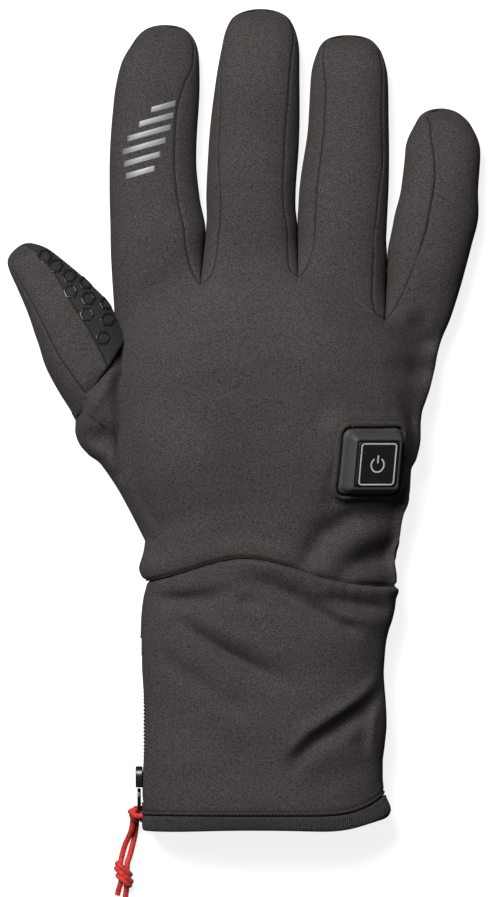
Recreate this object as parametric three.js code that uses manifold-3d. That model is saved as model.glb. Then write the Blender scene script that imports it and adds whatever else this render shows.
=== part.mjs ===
// A heated softshell glove for the right hand, lying on its palm with the back of the hand up.
//
// Millimetres. +X runs from the thumb to the little finger, +Y from the hem to the fingertips and +Z up
// from the surface that the glove lies on. Lengths are worked out from the ends of the wrist seam, and the
// finished group is moved so that the origin is under the middle of the glove.
//
// The hand is sewn from a back panel, a palm panel and three fourchettes between the fingers. The thumb
// has three strips and a gusset. A cuff with a side zip, a rolled seam and a ribbed hem band follow below
// the wrist. The heat control is a bevelled housing with one push button, let into the back panel.

import * as THREE from "three";
import { LoftGeometry } from "three/addons/geometries/LoftGeometry.js";
import { mergeVertices } from "three/addons/utils/BufferGeometryUtils.js";
import Module from "manifold-3d";

const wasm = await Module();
wasm.setup();

// Cloth and seams
const WALL = 2; // softshell with its fleece backing
const SEAM_GAP = 0.3; // between two sewn pieces
const PALM_SEAM_HEIGHT = 7.5; // of the seam round the palm, above the floor

// Palm
const PALM_LENGTH = 105.5; // wrist seam to the knuckle line, at its highest point
const PALM_WIDTH = 113; // across the knuckles
const PALM_THICKNESS = 37;
const KNUCKLE_DROP = 27.9; // of the knuckle line, half a palm's width from its highest point
const KNUCKLE_PEAK_X = -2.8;
const CROTCH_RISE = 4; // of the cloth between two fingers above the knuckle line
const WRIST_ARCH_HEIGHT = 10.2; // how far the wrist seam climbs on the back of the hand
const WRIST_ARCH_X = -8.6;
const WRIST_ARCH_SPREAD = 27;

// Fingers, from the knuckle line to the tip
const INDEX_LENGTH = 103.6;
const INDEX_WIDTH = 30.8;
const INDEX_THICKNESS = 20;
const MIDDLE_LENGTH = 97.5;
const MIDDLE_WIDTH = 30.8;
const MIDDLE_THICKNESS = 20.5;
const RING_LENGTH = 94.7;
const RING_WIDTH = 29.4;
const RING_THICKNESS = 20;
const LITTLE_LENGTH = 86.7;
const LITTLE_WIDTH = 28;
const LITTLE_THICKNESS = 19.5;

// Cuff and hem
const CUFF_LENGTH = 78.6; // from the ends of the wrist seam to the hem seam
const CUFF_WIDTH = 90;
const CUFF_THICKNESS = 33;
const HEM_LIFT = 8; // how far the hem climbs at the little finger's side
const HEM_ROLL = 1.6; // height of the rolled seam above the hem band
const HEM_ROLL_PROUD = 0.6;
const HEM_BAND_HEIGHT = 5.2;
const HEM_BAND_WALL = 1.8;

// Thumb, along a line that leans from +Y towards the thumb's side
const THUMB_ROOT = { x: -0.46 * PALM_WIDTH, y: 0.474 * PALM_LENGTH };
const THUMB_LEAN = 29; // degrees
const THUMB_LENGTH = 78.2; // root to tip
const THUMB_WIDTH = 30;
const THUMB_THICKNESS = 25;
const THUMB_BASE_SEAM = 20.5; // of the seam round the thumb's base, along the thumb
const THUMB_BASE_SLANT = 0.555; // how much further along it is for each millimetre across
const THUMB_OUTER_SEAM = -2.4; // between side strip and back strip, across the thumb
const THUMB_INNER_SEAM = 9.2; // between back strip and grip strip, across the thumb
const GUSSET_LENGTH = 58;
const GUSSET_WIDTH = 27;
const GUSSET_THICKNESS = 25;
const THUMB_CROTCH_Y = 0.91 * PALM_LENGTH; // where the thumb parts from the hand
const THUMB_SEAM_INSET = 2.5; // of the seam between hand and thumb from the palm's edge

// Control unit
const CONTROL_WIDTH = 23.6;
const CONTROL_BASE_HEIGHT = 3.4; // of its upright foot, most of it below the cloth
const CONTROL_BEVEL_HEIGHT = 5.4;
const CONTROL_CORNER = 3;
const CONTROL_CENTRE = { x: 35.1, y: 43.9 }; // of the foot, where it comes out of the cloth
const CONTROL_DEPTH = 3.2; // of the foot below the cloth's face
const CONTROL_TILT = 27; // degrees, down towards the little finger
const CONTROL_PITCH = 11; // degrees, down towards the cuff
const CONTROL_RIM = 0.5; // of the housing's top round the button
const BUTTON_WIDTH = 16;
const BUTTON_THICKNESS = 2.2;
const BUTTON_TRAVEL = 0.8;
const BUTTON_CORNER = 1.2;
const BUTTON_PROUD = 0.3; // of the button above the housing's top
const CLEARANCE = 0.3; // between two hard pieces

// Side zip and its pull
const ZIP_LENGTH = 58;
const ZIP_WIDTH = 9; // of the slot in the cuff
const ZIP_HEIGHT = 14; // of the zip's middle line above the floor
const ZIP_END_MARGIN = 2.6; // of cuff left below the slot
const ZIP_TAPE_SINK = 0.8; // of the tape below the cuff's face
const ZIP_TAPE_THICKNESS = 1;
const ZIP_CHAIN_WIDTH = 4.4;
const ZIP_CHAIN_PROUD = 0.4;
const SLIDER_LENGTH = 7.4;
const SLIDER_REST = 5.5; // of the slider's lower end above the end of the slot
const SLIDER_WIDTH = 6.6;
const SLIDER_THICKNESS = 2.4;
const PULLER_LENGTH = 10.6;
const PULLER_WIDTH = 4.8;
const PULLER_THICKNESS = 1.2;
const PULLER_DROOP = 38; // degrees that the puller hangs below the level
const PULLER_EYE = 2.6; // diameter of the hole that the cord is hitched through
const PULLER_EYE_MARGIN = 2.2; // from the eye's middle to the puller's end

// Pull cord
const CORD_DIAMETER = 2;
const CORD_SIDES = 8;
const HITCH_SIZE = { x: 6.6, y: 5.4, z: 5.2 };
const KNOT_SIZE = { x: 7, y: 8, z: 6 };
const CORD_TAIL = 2.4; // of the longer cord end beyond the knot

// Fineness of the lofts: points over the top and under the bottom of a section
const HAND_POINTS = { over: 12, under: 6 };
const HAND_HOLLOW_POINTS = { over: 10, under: 4 };
const DIGIT_POINTS = { over: 7, under: 5 };
const DIGIT_HOLLOW_POINTS = { over: 5, under: 4 };
const CUFF_POINTS = { over: 16, under: 4 };
const SEAM_STEPS = 8;
const CROSS_SEAM_STEPS = 16;

const FAR = 400; // past every piece
const PAST_END = 20; // how far a hollow runs on past an open end

const cloth = new THREE.MeshStandardMaterial({ color: 0x3b3836, roughness: 0.92, metalness: 0 });
const gripCloth = new THREE.MeshStandardMaterial({ color: 0x2c2c2c, roughness: 0.8, metalness: 0 });
const bindingCloth = new THREE.MeshStandardMaterial({ color: 0x2f2d2c, roughness: 0.85, metalness: 0 });
const zipPlastic = new THREE.MeshStandardMaterial({ color: 0x1b1b1b, roughness: 0.5, metalness: 0 });
const zipMetal = new THREE.MeshStandardMaterial({ color: 0x6f7470, roughness: 0.35, metalness: 1 });
const housingPlastic = new THREE.MeshStandardMaterial({ color: 0x3a3b3c, roughness: 0.6, metalness: 0 });
const buttonPlastic = new THREE.MeshStandardMaterial({ color: 0x151616, roughness: 0.35, metalness: 0 });
const cordBraid = new THREE.MeshStandardMaterial({ color: 0xf0402f, roughness: 0.75, metalness: 0 });

// Tables. along runs from 0 at the wrist or the finger's root to 1 at the other end. left, right, centre
// and wide are shares of the width that the table is read with, and top and deep of its thickness.

const PALM_SECTIONS = [
  { along: 0.0, left: -0.389, right: 0.395, top: 0.87 },
  { along: 0.06, left: -0.4, right: 0.389, top: 0.87 },
  { along: 0.13, left: -0.389, right: 0.389, top: 0.89 },
  { along: 0.19, left: -0.384, right: 0.403, top: 0.91 },
  { along: 0.26, left: -0.409, right: 0.41, top: 0.94 },
  { along: 0.41, left: -0.456, right: 0.435, top: 0.98 },
  { along: 0.58, left: -0.469, right: 0.461, top: 1.0 },
  { along: 0.71, left: -0.473, right: 0.472, top: 0.98 },
  { along: 0.85, left: -0.474, right: 0.483, top: 0.89 },
  { along: 1.0, left: -0.474, right: 0.508, top: 0.73 },
  { along: 1.08, left: -0.472, right: 0.518, top: 0.6 },
  { along: 1.16, left: -0.46, right: 0.52, top: 0.42 },
  { along: 1.2, left: -0.43, right: 0.5, top: 0.26 },
];

// root is where the finger's middle line meets the knuckle line, as a share of the palm's width. The seams
// are those on the back of the finger, as shares of its half width, with null where there is none.
const FINGERS = [
  {
    root: -0.351, length: INDEX_LENGTH, width: INDEX_WIDTH, thickness: INDEX_THICKNESS,
    innerSeam: null, outerSeam: 0.5,
    sections: [
      { along: -0.1, centre: 0.02, wide: 0.95, deep: 0.95 },
      { along: 0.29, centre: 0.02, wide: 1.09, deep: 1.05 },
      { along: 0.41, centre: -0.02, wide: 1.03, deep: 1.03 },
      { along: 0.53, centre: -0.04, wide: 0.99, deep: 1.0 },
      { along: 0.74, centre: 0.0, wide: 0.975, deep: 0.96 },
      { along: 0.86, centre: 0.04, wide: 0.9, deep: 0.87 },
      { along: 0.94, centre: 0.09, wide: 0.71, deep: 0.72 },
      { along: 0.985, centre: 0.1, wide: 0.44, deep: 0.5 },
      { along: 1.0, centre: 0.1, wide: 0.18, deep: 0.3 },
    ],
  },
  {
    root: -0.063, length: MIDDLE_LENGTH, width: MIDDLE_WIDTH, thickness: MIDDLE_THICKNESS,
    innerSeam: -0.77, outerSeam: 0.74,
    sections: [
      { along: -0.1, centre: 0.0, wide: 0.95, deep: 0.95 },
      { along: 0.06, centre: 0.01, wide: 1.06, deep: 1.06 },
      { along: 0.32, centre: 0.02, wide: 1.02, deep: 1.04 },
      { along: 0.49, centre: 0.05, wide: 1.03, deep: 1.0 },
      { along: 0.75, centre: 0.1, wide: 0.95, deep: 0.95 },
      { along: 0.88, centre: 0.13, wide: 0.86, deep: 0.86 },
      { along: 0.96, centre: 0.13, wide: 0.67, deep: 0.68 },
      { along: 0.985, centre: 0.13, wide: 0.46, deep: 0.5 },
      { along: 1.0, centre: 0.13, wide: 0.2, deep: 0.3 },
    ],
  },
  {
    root: 0.217, length: RING_LENGTH, width: RING_WIDTH, thickness: RING_THICKNESS,
    innerSeam: -0.62, outerSeam: 0.8,
    sections: [
      { along: -0.1, centre: 0.0, wide: 0.95, deep: 0.95 },
      { along: 0.05, centre: 0.01, wide: 1.05, deep: 1.06 },
      { along: 0.39, centre: 0.05, wide: 1.07, deep: 1.03 },
      { along: 0.66, centre: 0.11, wide: 0.965, deep: 0.98 },
      { along: 0.84, centre: 0.12, wide: 0.92, deep: 0.91 },
      { along: 0.93, centre: 0.12, wide: 0.78, deep: 0.77 },
      { along: 0.97, centre: 0.11, wide: 0.62, deep: 0.62 },
      { along: 0.99, centre: 0.11, wide: 0.42, deep: 0.45 },
      { along: 1.0, centre: 0.11, wide: 0.2, deep: 0.3 },
    ],
  },
  {
    root: 0.442, length: LITTLE_LENGTH, width: LITTLE_WIDTH, thickness: LITTLE_THICKNESS,
    innerSeam: -0.19, outerSeam: null,
    sections: [
      { along: -0.1, centre: -0.05, wide: 0.8, deep: 0.95 },
      { along: 0.15, centre: 0.07, wide: 0.86, deep: 1.05 },
      { along: 0.3, centre: 0.15, wide: 0.97, deep: 1.04 },
      { along: 0.44, centre: 0.23, wide: 1.04, deep: 1.02 },
      { along: 0.54, centre: 0.3, wide: 1.06, deep: 1.0 },
      { along: 0.67, centre: 0.35, wide: 0.97, deep: 0.97 },
      { along: 0.83, centre: 0.39, wide: 0.94, deep: 0.89 },
      { along: 0.93, centre: 0.39, wide: 0.71, deep: 0.73 },
      { along: 0.976, centre: 0.37, wide: 0.48, deep: 0.52 },
      { along: 1.0, centre: 0.37, wide: 0.18, deep: 0.3 },
    ],
  },
];

const FOURCHETTES = [
  { name: "fourchette_index_middle", between: [0, 1] },
  { name: "fourchette_middle_ring", between: [1, 2] },
  { name: "fourchette_ring_little", between: [2, 3] },
];

const THUMB_SECTIONS = [
  { along: 0.1, centre: 0.16, wide: 0.7, deep: 0.9 },
  { along: 0.25, centre: 0.16, wide: 0.88, deep: 0.97 },
  { along: 0.33, centre: 0.147, wide: 0.97, deep: 1.0 },
  { along: 0.45, centre: 0.162, wide: 1.01, deep: 0.98 },
  { along: 0.59, centre: 0.195, wide: 0.94, deep: 0.93 },
  { along: 0.7, centre: 0.182, wide: 0.81, deep: 0.86 },
  { along: 0.845, centre: 0.133, wide: 0.63, deep: 0.71 },
  { along: 0.93, centre: 0.093, wide: 0.51, deep: 0.58 },
  { along: 0.972, centre: 0.07, wide: 0.37, deep: 0.44 },
  { along: 1.0, centre: 0.09, wide: 0.14, deep: 0.24 },
];

// The gusset runs back from the thumb into the heel of the hand: along is 0 inside the thumb's base.
const GUSSET_SECTIONS = [
  { along: 1.0, centre: 0.1, wide: 0.55, deep: 0.8 },
  { along: 0.95, centre: 0.12, wide: 0.93, deep: 1.0 },
  { along: 0.62, centre: 0.14, wide: 0.93, deep: 1.0 },
  { along: 0.4, centre: 0.13, wide: 0.98, deep: 1.0 },
  { along: 0.26, centre: 0.08, wide: 1.02, deep: 1.0 },
  { along: 0.12, centre: 0.08, wide: 0.97, deep: 0.97 },
  { along: 0.05, centre: 0.09, wide: 0.86, deep: 0.9 },
  { along: 0.0, centre: 0.1, wide: 0.6, deep: 0.75 },
];

// How the seam between hand and thumb bends outwards at their crotch, as shares of the thumb's width
const THUMB_SEAM_BEND = [
  { out: 0, up: -0.27 },
  { out: 0.107, up: 0.033 },
  { out: 0.233, up: 0.3 },
];

const CUFF_SECTIONS = [
  { along: 0.0, left: -0.476, right: 0.498, top: 0.96 },
  { along: 0.025, left: -0.48, right: 0.504, top: 1.0 },
  { along: 0.07, left: -0.49, right: 0.494, top: 1.0 },
  { along: 0.12, left: -0.497, right: 0.489, top: 0.98 },
  { along: 0.17, left: -0.5, right: 0.48, top: 0.97 },
  { along: 0.23, left: -0.5, right: 0.464, top: 0.97 },
  { along: 0.29, left: -0.5, right: 0.454, top: 0.97 },
  { along: 0.36, left: -0.5, right: 0.449, top: 0.96 },
  { along: 0.43, left: -0.497, right: 0.446, top: 0.95 },
  { along: 0.5, left: -0.493, right: 0.449, top: 0.95 },
  { along: 0.58, left: -0.492, right: 0.454, top: 0.94 },
  { along: 0.68, left: -0.492, right: 0.457, top: 0.94 },
  { along: 0.78, left: -0.495, right: 0.45, top: 0.93 },
  { along: 0.86, left: -0.5, right: 0.442, top: 0.92 },
  { along: 0.93, left: -0.5, right: 0.442, top: 0.92 },
  { along: 1.0, left: -0.492, right: 0.447, top: 0.91 },
];

// Valleys and ridges pressed into the cuff's back. Each runs between two points, given as shares of the
// cuff's width and length. broad is a share of the width and depth of the thickness, less than 0 in a ridge.
const CUFF_FOLDS = [
  { fromX: -0.42, fromY: 0.06, toX: -0.2, toY: 0.1, broad: 0.04, depth: 0.06 },
  { fromX: 0.02, fromY: 0.09, toX: 0.32, toY: 0.21, broad: 0.055, depth: 0.11 },
  { fromX: 0.27, fromY: 0.06, toX: 0.48, toY: 0.1, broad: 0.05, depth: 0.07 },
  { fromX: -0.37, fromY: 0.18, toX: 0.06, toY: 0.49, broad: 0.05, depth: 0.1 },
  { fromX: -0.3, fromY: 0.13, toX: 0.1, toY: 0.4, broad: 0.05, depth: -0.05 },
  { fromX: -0.42, fromY: 0.36, toX: -0.1, toY: 0.58, broad: 0.06, depth: 0.04 },
  { fromX: 0.41, fromY: 0.41, toX: 0.16, toY: 0.68, broad: 0.06, depth: -0.07 },
  { fromX: 0.34, fromY: 0.62, toX: 0.08, toY: 0.8, broad: 0.05, depth: 0.05 },
];

// The same for the back of the hand, as shares of the palm's width, length and thickness.
const HAND_FOLDS = [
  { fromX: 0.4, fromY: 0.26, toX: 0.18, toY: 0.08, broad: 0.045, depth: 0.06 },
  { fromX: -0.43, fromY: 0.42, toX: -0.36, toY: 0.12, broad: 0.04, depth: 0.05 },
];

// The cord's middle lines, from the puller's eye to the stopper knot, chosen by hand and measured from the
// eye in plan and from the floor upwards. Both strands come down to the floor and lie side by side on it.
const CORD_STRANDS = {
  pull_cord_left: [
    [-2.3, -4.0, 6.0],
    [-2.5, -6.0, 5.0],
    [-3.0, -8.2, 3.8],
    [-3.9, -10.4, 2.3],
    [-4.9, -12.6, 1.3],
    [-5.7, -15.0, 1.1],
    [-6.3, -17.4, 1.2],
    [-6.7, -19.6, 1.9],
    [-6.6, -21.8, 2.6],
  ],
  pull_cord_right: [
    [-0.9, -4.0, 4.2],
    [-1.1, -6.0, 3.1],
    [-1.4, -8.2, 1.9],
    [-1.8, -10.4, 1.2],
    [-2.3, -12.6, 1.1],
    [-2.9, -15.0, 1.1],
    [-3.6, -17.4, 1.3],
    [-4.3, -19.6, 1.9],
    [-4.4, -21.8, 2.6],
  ],
};

const { lerp, smoothstep, degToRad } = THREE.MathUtils;

// Widest level of a section above the floor, as a share of its thickness
const WIDEST = 0.42;
// How far below that level an underside would reach, in those heights, if the floor didn't flatten it
const UNDERSIDE = 1.3;

// Height of the knuckle line above the wrist at a place across the palm.
function knuckleY(x) {
  return PALM_LENGTH - KNUCKLE_DROP * ((x - KNUCKLE_PEAK_X) / (PALM_WIDTH / 2)) ** 2;
}

// Place of the wrist seam, which arches over the back of the hand.
function wristSeamY(x) {
  return WRIST_ARCH_HEIGHT * Math.exp(-(((x - WRIST_ARCH_X) / WRIST_ARCH_SPREAD) ** 2));
}

// Place of the hem seam, which climbs towards the little finger's side.
function hemSeamY(x) {
  return -CUFF_LENGTH + HEM_LIFT * smoothstep(x, 0.15 * CUFF_WIDTH, 0.5 * CUFF_WIDTH);
}

// Depth that a table of folds presses into a surface at shares x, y of its width and length: each fold is
// a bell across its line and fades past the line's two ends.
function foldDepth(folds, x, y, aspect) {
  return folds.reduce((sum, fold) => {
    const runX = fold.toX - fold.fromX;
    const runY = (fold.toY - fold.fromY) * aspect;
    const length = Math.hypot(runX, runY);
    const offX = x - fold.fromX;
    const offY = (y - fold.fromY) * aspect;
    const along = (offX * runX + offY * runY) / length;
    const past = Math.max(0, -along, along - length);
    const across = (offX * runY - offY * runX) / length;
    return sum + fold.depth * Math.exp(-(across ** 2 + past ** 2) / fold.broad ** 2);
  }, 0);
}

// Points round one cross-section: a rounded upper half above its widest level, and a fuller lower half
// that the floor presses flat. place(across, height) gives each point's position.
function sectionRing(points, half, middle, rise, floor, place) {
  return Array.from({ length: points.over + points.under }, (_, i) => {
    const below = i > points.over;
    const angle = Math.PI * (below ? 1 + (i - points.over) / points.under : i / points.over);
    const across = Math.cos(angle);
    const up = Math.sin(angle);
    const rounded = Math.sign(across) * Math.abs(across) ** (below ? 0.7 : 0.85);
    const height = middle + (below ? -UNDERSIDE * middle : rise) * Math.abs(up) ** 0.9;
    return place(rounded * half, Math.max(0, floor, height));
  });
}

// The same for a finger or thumb, whose widest level falls as it gets thinner towards the tip.
function digitRing(row, width, thickness, inset, place) {
  const widest = WIDEST * thickness * Math.min(1, 0.4 + 0.6 * row.deep);
  const half = Math.max(inset / 2, (row.wide * width) / 2 - inset);
  const rise = Math.max(inset / 2, row.deep * thickness - widest - inset);
  return sectionRing(inset > 0 ? DIGIT_HOLLOW_POINTS : DIGIT_POINTS, half, widest, rise, inset, place);
}

// A manifold solid from a closed geometry.
function solid(geometry) {
  const bare = new THREE.BufferGeometry().copy(geometry);
  bare.deleteAttribute("normal");
  bare.deleteAttribute("uv");
  const merged = mergeVertices(bare, 1e-4);
  return new wasm.Manifold(
    new wasm.Mesh({
      numProp: 3,
      vertProperties: merged.attributes.position.array,
      triVerts: new Uint32Array(merged.index.array),
    }),
  );
}

// A named mesh from a solid.
function meshOf(name, body, material) {
  const { vertProperties, triVerts } = body.getMesh();
  const geometry = new THREE.BufferGeometry();
  geometry.setAttribute("position", new THREE.BufferAttribute(new Float32Array(vertProperties), 3));
  geometry.setIndex(new THREE.BufferAttribute(new Uint32Array(triVerts), 1));
  geometry.computeVertexNormals();
  const mesh = new THREE.Mesh(geometry, material);
  mesh.name = name;
  return mesh;
}

// The largest body of a cut, without the crumbs that a seam leaves beside it.
function largest(body) {
  return body.decompose().reduce((best, part) => (part.volume() > best.volume() ? part : best));
}

// A solid loft, capped at both ends, whose rings follow each other towards -Y or towards +Y.
function cappedLoft(rings) {
  return solid(new LoftGeometry(rings, { capStart: true, capEnd: true }));
}

// An upright prism on an outline seen from above.
function prism(outline, bottom, top) {
  const shape = new THREE.Shape(outline.map(([x, y]) => new THREE.Vector2(x, y)));
  const geometry = new THREE.ExtrudeGeometry(shape, { depth: top - bottom, bevelEnabled: false });
  return solid(geometry.translate(0, 0, bottom));
}

// Everything towards +Y, or towards -Y, of a seam that runs across the glove.
function beyondSeam(seamY, shift, direction) {
  const line = Array.from({ length: CROSS_SEAM_STEPS + 1 }, (_, i) => {
    const x = PALM_WIDTH * (i / CROSS_SEAM_STEPS - 0.5);
    return [x, seamY(x) + direction * shift];
  });
  const end = direction * FAR;
  const [start, last] = [line[0][1], line.at(-1)[1]];
  return prism([[-FAR, start], ...line, [FAR, last], [FAR, end], [-FAR, end]], -FAR, FAR);
}

// A box between two levels that takes in everything at those levels.
function slab(bottom, top) {
  return prism([[-FAR, -FAR], [FAR, -FAR], [FAR, FAR], [-FAR, FAR]], bottom, top);
}

// The palm's outer form, or with inset its hollow. Both run on below the wrist seam, where they are cut.
function palmForm(inset) {
  const rings = PALM_SECTIONS.map(({ along, left, right, top }) => {
    const half = ((right - left) * PALM_WIDTH) / 2 - inset;
    const centre = ((right + left) * PALM_WIDTH) / 2;
    const crown = top * PALM_THICKNESS - inset;
    const middle = WIDEST * top * PALM_THICKNESS;
    const points = inset > 0 ? HAND_HOLLOW_POINTS : HAND_POINTS;
    return sectionRing(points, half, middle, crown - middle, inset, (across, height) => {
      const x = centre + across;
      const y = along * knuckleY(x) + (1 - along) * wristSeamY(x);
      const share = foldDepth(HAND_FOLDS, x / PALM_WIDTH, along, PALM_LENGTH / PALM_WIDTH);
      const dent = share * PALM_THICKNESS * smoothstep(height, middle, crown);
      return new THREE.Vector3(x, y - (along > 1 ? inset : 0), height - dent);
    });
  });
  rings.unshift(rings[0].map((point) => point.clone().setY(point.y - PAST_END)));
  return cappedLoft(rings.reverse());
}

// A finger's middle line and half width at a share of its length.
function fingerLine(finger, along) {
  const rows = finger.sections;
  const found = rows.findIndex((row) => row.along >= along);
  const next = found < 0 ? rows.length - 1 : Math.max(1, found);
  const [near, far] = [rows[next - 1], rows[next]];
  const share = (along - near.along) / (far.along - near.along);
  return {
    x: finger.root * PALM_WIDTH + finger.width * lerp(near.centre, far.centre, share),
    half: (finger.width / 2) * lerp(near.wide, far.wide, share),
  };
}

// A finger's outer form, or with inset its hollow.
function fingerForm(finger, inset) {
  const rootX = finger.root * PALM_WIDTH;
  const rings = finger.sections.map((row) => {
    const x = rootX + row.centre * finger.width;
    const y = knuckleY(rootX) + row.along * (finger.length - inset);
    return digitRing(row, finger.width, finger.thickness, inset, (across, height) =>
      new THREE.Vector3(x + across, y, height));
  });
  return cappedLoft(rings.reverse());
}

// A point given along and across the thumb.
function thumbPoint(along, across, height) {
  const lean = degToRad(THUMB_LEAN);
  const x = THUMB_ROOT.x - along * Math.sin(lean) + across * Math.cos(lean);
  const y = THUMB_ROOT.y + along * Math.cos(lean) + across * Math.sin(lean);
  return new THREE.Vector3(x, y, height);
}

// The thumb's outer form, or with inset its hollow.
function thumbForm(inset) {
  const rings = THUMB_SECTIONS.map((row) =>
    digitRing(row, THUMB_WIDTH, THUMB_THICKNESS, inset, (across, height) =>
      thumbPoint(row.along * (THUMB_LENGTH - inset), row.centre * THUMB_WIDTH + across, height)));
  return cappedLoft(rings.reverse());
}

// The gusset's outer form, or with inset its hollow.
function gussetForm(inset) {
  const start = THUMB_BASE_SEAM + inset;
  const rings = GUSSET_SECTIONS.map((row) =>
    digitRing(row, GUSSET_WIDTH, GUSSET_THICKNESS, inset, (across, height) =>
      thumbPoint(start - row.along * GUSSET_LENGTH, row.centre * GUSSET_WIDTH + across, height)));
  return cappedLoft(rings.reverse());
}

// Everything above the wrist as one solid, from the outer forms or from the hollows.
function handForm(inset) {
  const digits = FINGERS.map((finger) => fingerForm(finger, inset));
  return [...digits, thumbForm(inset), gussetForm(inset)].reduce((all, part) => all.add(part), palmForm(inset));
}

// A finger's seam on its back, seen from above, from a given height to past the tip. The seam runs out to
// the finger's edge at the tip.
function fingerSeam(finger, share, fromY, shift) {
  const rootY = knuckleY(finger.root * PALM_WIDTH);
  return Array.from({ length: SEAM_STEPS + 1 }, (_, i) => {
    const y = lerp(fromY, rootY + finger.length, i / SEAM_STEPS);
    const along = (y - rootY) / finger.length;
    const { x, half } = fingerLine(finger, along);
    const edge = lerp(share, Math.sign(share), smoothstep(along, 0.78, 1));
    return [x + edge * half + shift, y];
  });
}

// Outline of a fourchette seen from above, from the crotch up the two fingers' seams, wider by grow.
function fourchetteOutline([first, second], grow) {
  const near = FINGERS[first];
  const far = FINGERS[second];
  const middle = ((near.root + far.root) * PALM_WIDTH) / 2;
  const crotchY = knuckleY(middle) + CROTCH_RISE;
  const nearEdge = fingerLine(near, (crotchY - knuckleY(near.root * PALM_WIDTH)) / near.length);
  const farEdge = fingerLine(far, (crotchY - knuckleY(far.root * PALM_WIDTH)) / far.length);
  const crotchX = (nearEdge.x + nearEdge.half + farEdge.x - farEdge.half) / 2;
  const rise = 0.08 * PALM_LENGTH;
  const nearSeam = fingerSeam(near, near.outerSeam, crotchY + rise, -grow);
  const farSeam = fingerSeam(far, far.innerSeam, crotchY + rise, grow);
  const clearOfTips = 0.02 * PALM_LENGTH;
  const over = [farSeam.at(-1), nearSeam.at(-1)].map(([x, y]) => [x, y + clearOfTips]);
  return [[crotchX, crotchY - grow], ...farSeam, ...over, ...nearSeam.reverse()];
}

// Outline, seen from above, of everything on the thumb's side of the seam between hand and thumb.
function thumbSideOutline(shift) {
  const seamX = PALM_SECTIONS.at(-4).left * PALM_WIDTH + THUMB_SEAM_INSET + shift;
  return [
    [-FAR, -FAR],
    [seamX, -FAR],
    ...THUMB_SEAM_BEND.map(({ out, up }) => [seamX - out * THUMB_WIDTH, THUMB_CROTCH_Y + up * THUMB_WIDTH]),
    [seamX - THUMB_SEAM_BEND.at(-1).out * THUMB_WIDTH, FAR],
    [-FAR, FAR],
  ];
}

// Outline, seen from above, of a strip along the thumb between two lines across it, beyond its base seam.
function thumbStripOutline(fromAcross, toAcross, shift) {
  const corner = (across) => {
    const point = thumbPoint(THUMB_BASE_SEAM + shift + THUMB_BASE_SLANT * across, across, 0);
    return [point.x, point.y];
  };
  const end = (across) => {
    const point = thumbPoint(FAR, across, 0);
    return [point.x, point.y];
  };
  return [corner(fromAcross), corner(toAcross), end(toAcross), end(fromAcross)];
}

// The housing's frame: its origin is where the foot's middle comes out of the cloth, with +Z out of it.
function controlFrame() {
  const frame = new THREE.Matrix4().makeRotationFromEuler(
    new THREE.Euler(degToRad(CONTROL_PITCH), degToRad(CONTROL_TILT), 0, "YXZ"));
  return frame.setPosition(CONTROL_CENTRE.x, CONTROL_CENTRE.y, controlCentreZ());
}

// Height of the palm's outer form at the housing's middle.
function controlCentreZ() {
  const along = CONTROL_CENTRE.y / knuckleY(CONTROL_CENTRE.x);
  const next = PALM_SECTIONS.findIndex((row) => row.along >= along);
  const [near, far] = [PALM_SECTIONS[next - 1], PALM_SECTIONS[next]];
  const share = (along - near.along) / (far.along - near.along);
  const left = lerp(near.left, far.left, share);
  const right = lerp(near.right, far.right, share);
  const top = lerp(near.top, far.top, share) * PALM_THICKNESS;
  const across = (CONTROL_CENTRE.x / PALM_WIDTH - (left + right) / 2) / ((right - left) / 2);
  const cosine = Math.abs(across) ** (1 / 0.85);
  return top * (WIDEST + (1 - WIDEST) * Math.sqrt(1 - cosine ** 2) ** 0.9);
}

// A square with round corners, as a shape.
function roundedSquare(width, corner) {
  const half = width / 2;
  const shape = new THREE.Shape();
  shape.moveTo(-half + corner, -half);
  shape.lineTo(half - corner, -half);
  shape.absarc(half - corner, -half + corner, corner, -Math.PI / 2, 0);
  shape.lineTo(half, half - corner);
  shape.absarc(half - corner, half - corner, corner, 0, Math.PI / 2);
  shape.lineTo(-half + corner, half);
  shape.absarc(-half + corner, half - corner, corner, Math.PI / 2, Math.PI);
  shape.lineTo(-half, -half + corner);
  shape.absarc(-half + corner, -half + corner, corner, Math.PI, 1.5 * Math.PI);
  return shape;
}

// A straight block on a rounded square.
function roundedBlock(width, corner, bottom, top) {
  const options = { depth: top - bottom, bevelEnabled: false, curveSegments: 4 };
  return new THREE.ExtrudeGeometry(roundedSquare(width, corner), options).translate(0, 0, bottom);
}

const CONTROL_TOP_WIDTH = BUTTON_WIDTH + 2 * (CLEARANCE + CONTROL_RIM);
const CONTROL_TOP = CONTROL_BASE_HEIGHT - CONTROL_DEPTH + CONTROL_BEVEL_HEIGHT;
const BUTTON_BOTTOM = CONTROL_TOP + BUTTON_PROUD - BUTTON_THICKNESS;

// The housing: an upright foot, four bevelled sides and a recess for the button.
function controlHousing() {
  const corners = [
    { width: CONTROL_WIDTH, corner: CONTROL_CORNER, z: -CONTROL_DEPTH },
    { width: CONTROL_WIDTH, corner: CONTROL_CORNER, z: CONTROL_BASE_HEIGHT - CONTROL_DEPTH },
    { width: CONTROL_TOP_WIDTH, corner: BUTTON_CORNER + CLEARANCE + CONTROL_RIM, z: CONTROL_TOP },
  ];
  const rings = corners.map(({ width, corner, z }) =>
    roundedSquare(width, corner).getPoints(4).slice(0, -1).map((point) => new THREE.Vector3(point.x, point.y, z)));
  const recess = roundedBlock(
    BUTTON_WIDTH + 2 * CLEARANCE, BUTTON_CORNER + CLEARANCE, BUTTON_BOTTOM - BUTTON_TRAVEL - CLEARANCE, FAR);
  return cappedLoft(rings).subtract(solid(recess));
}

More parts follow.
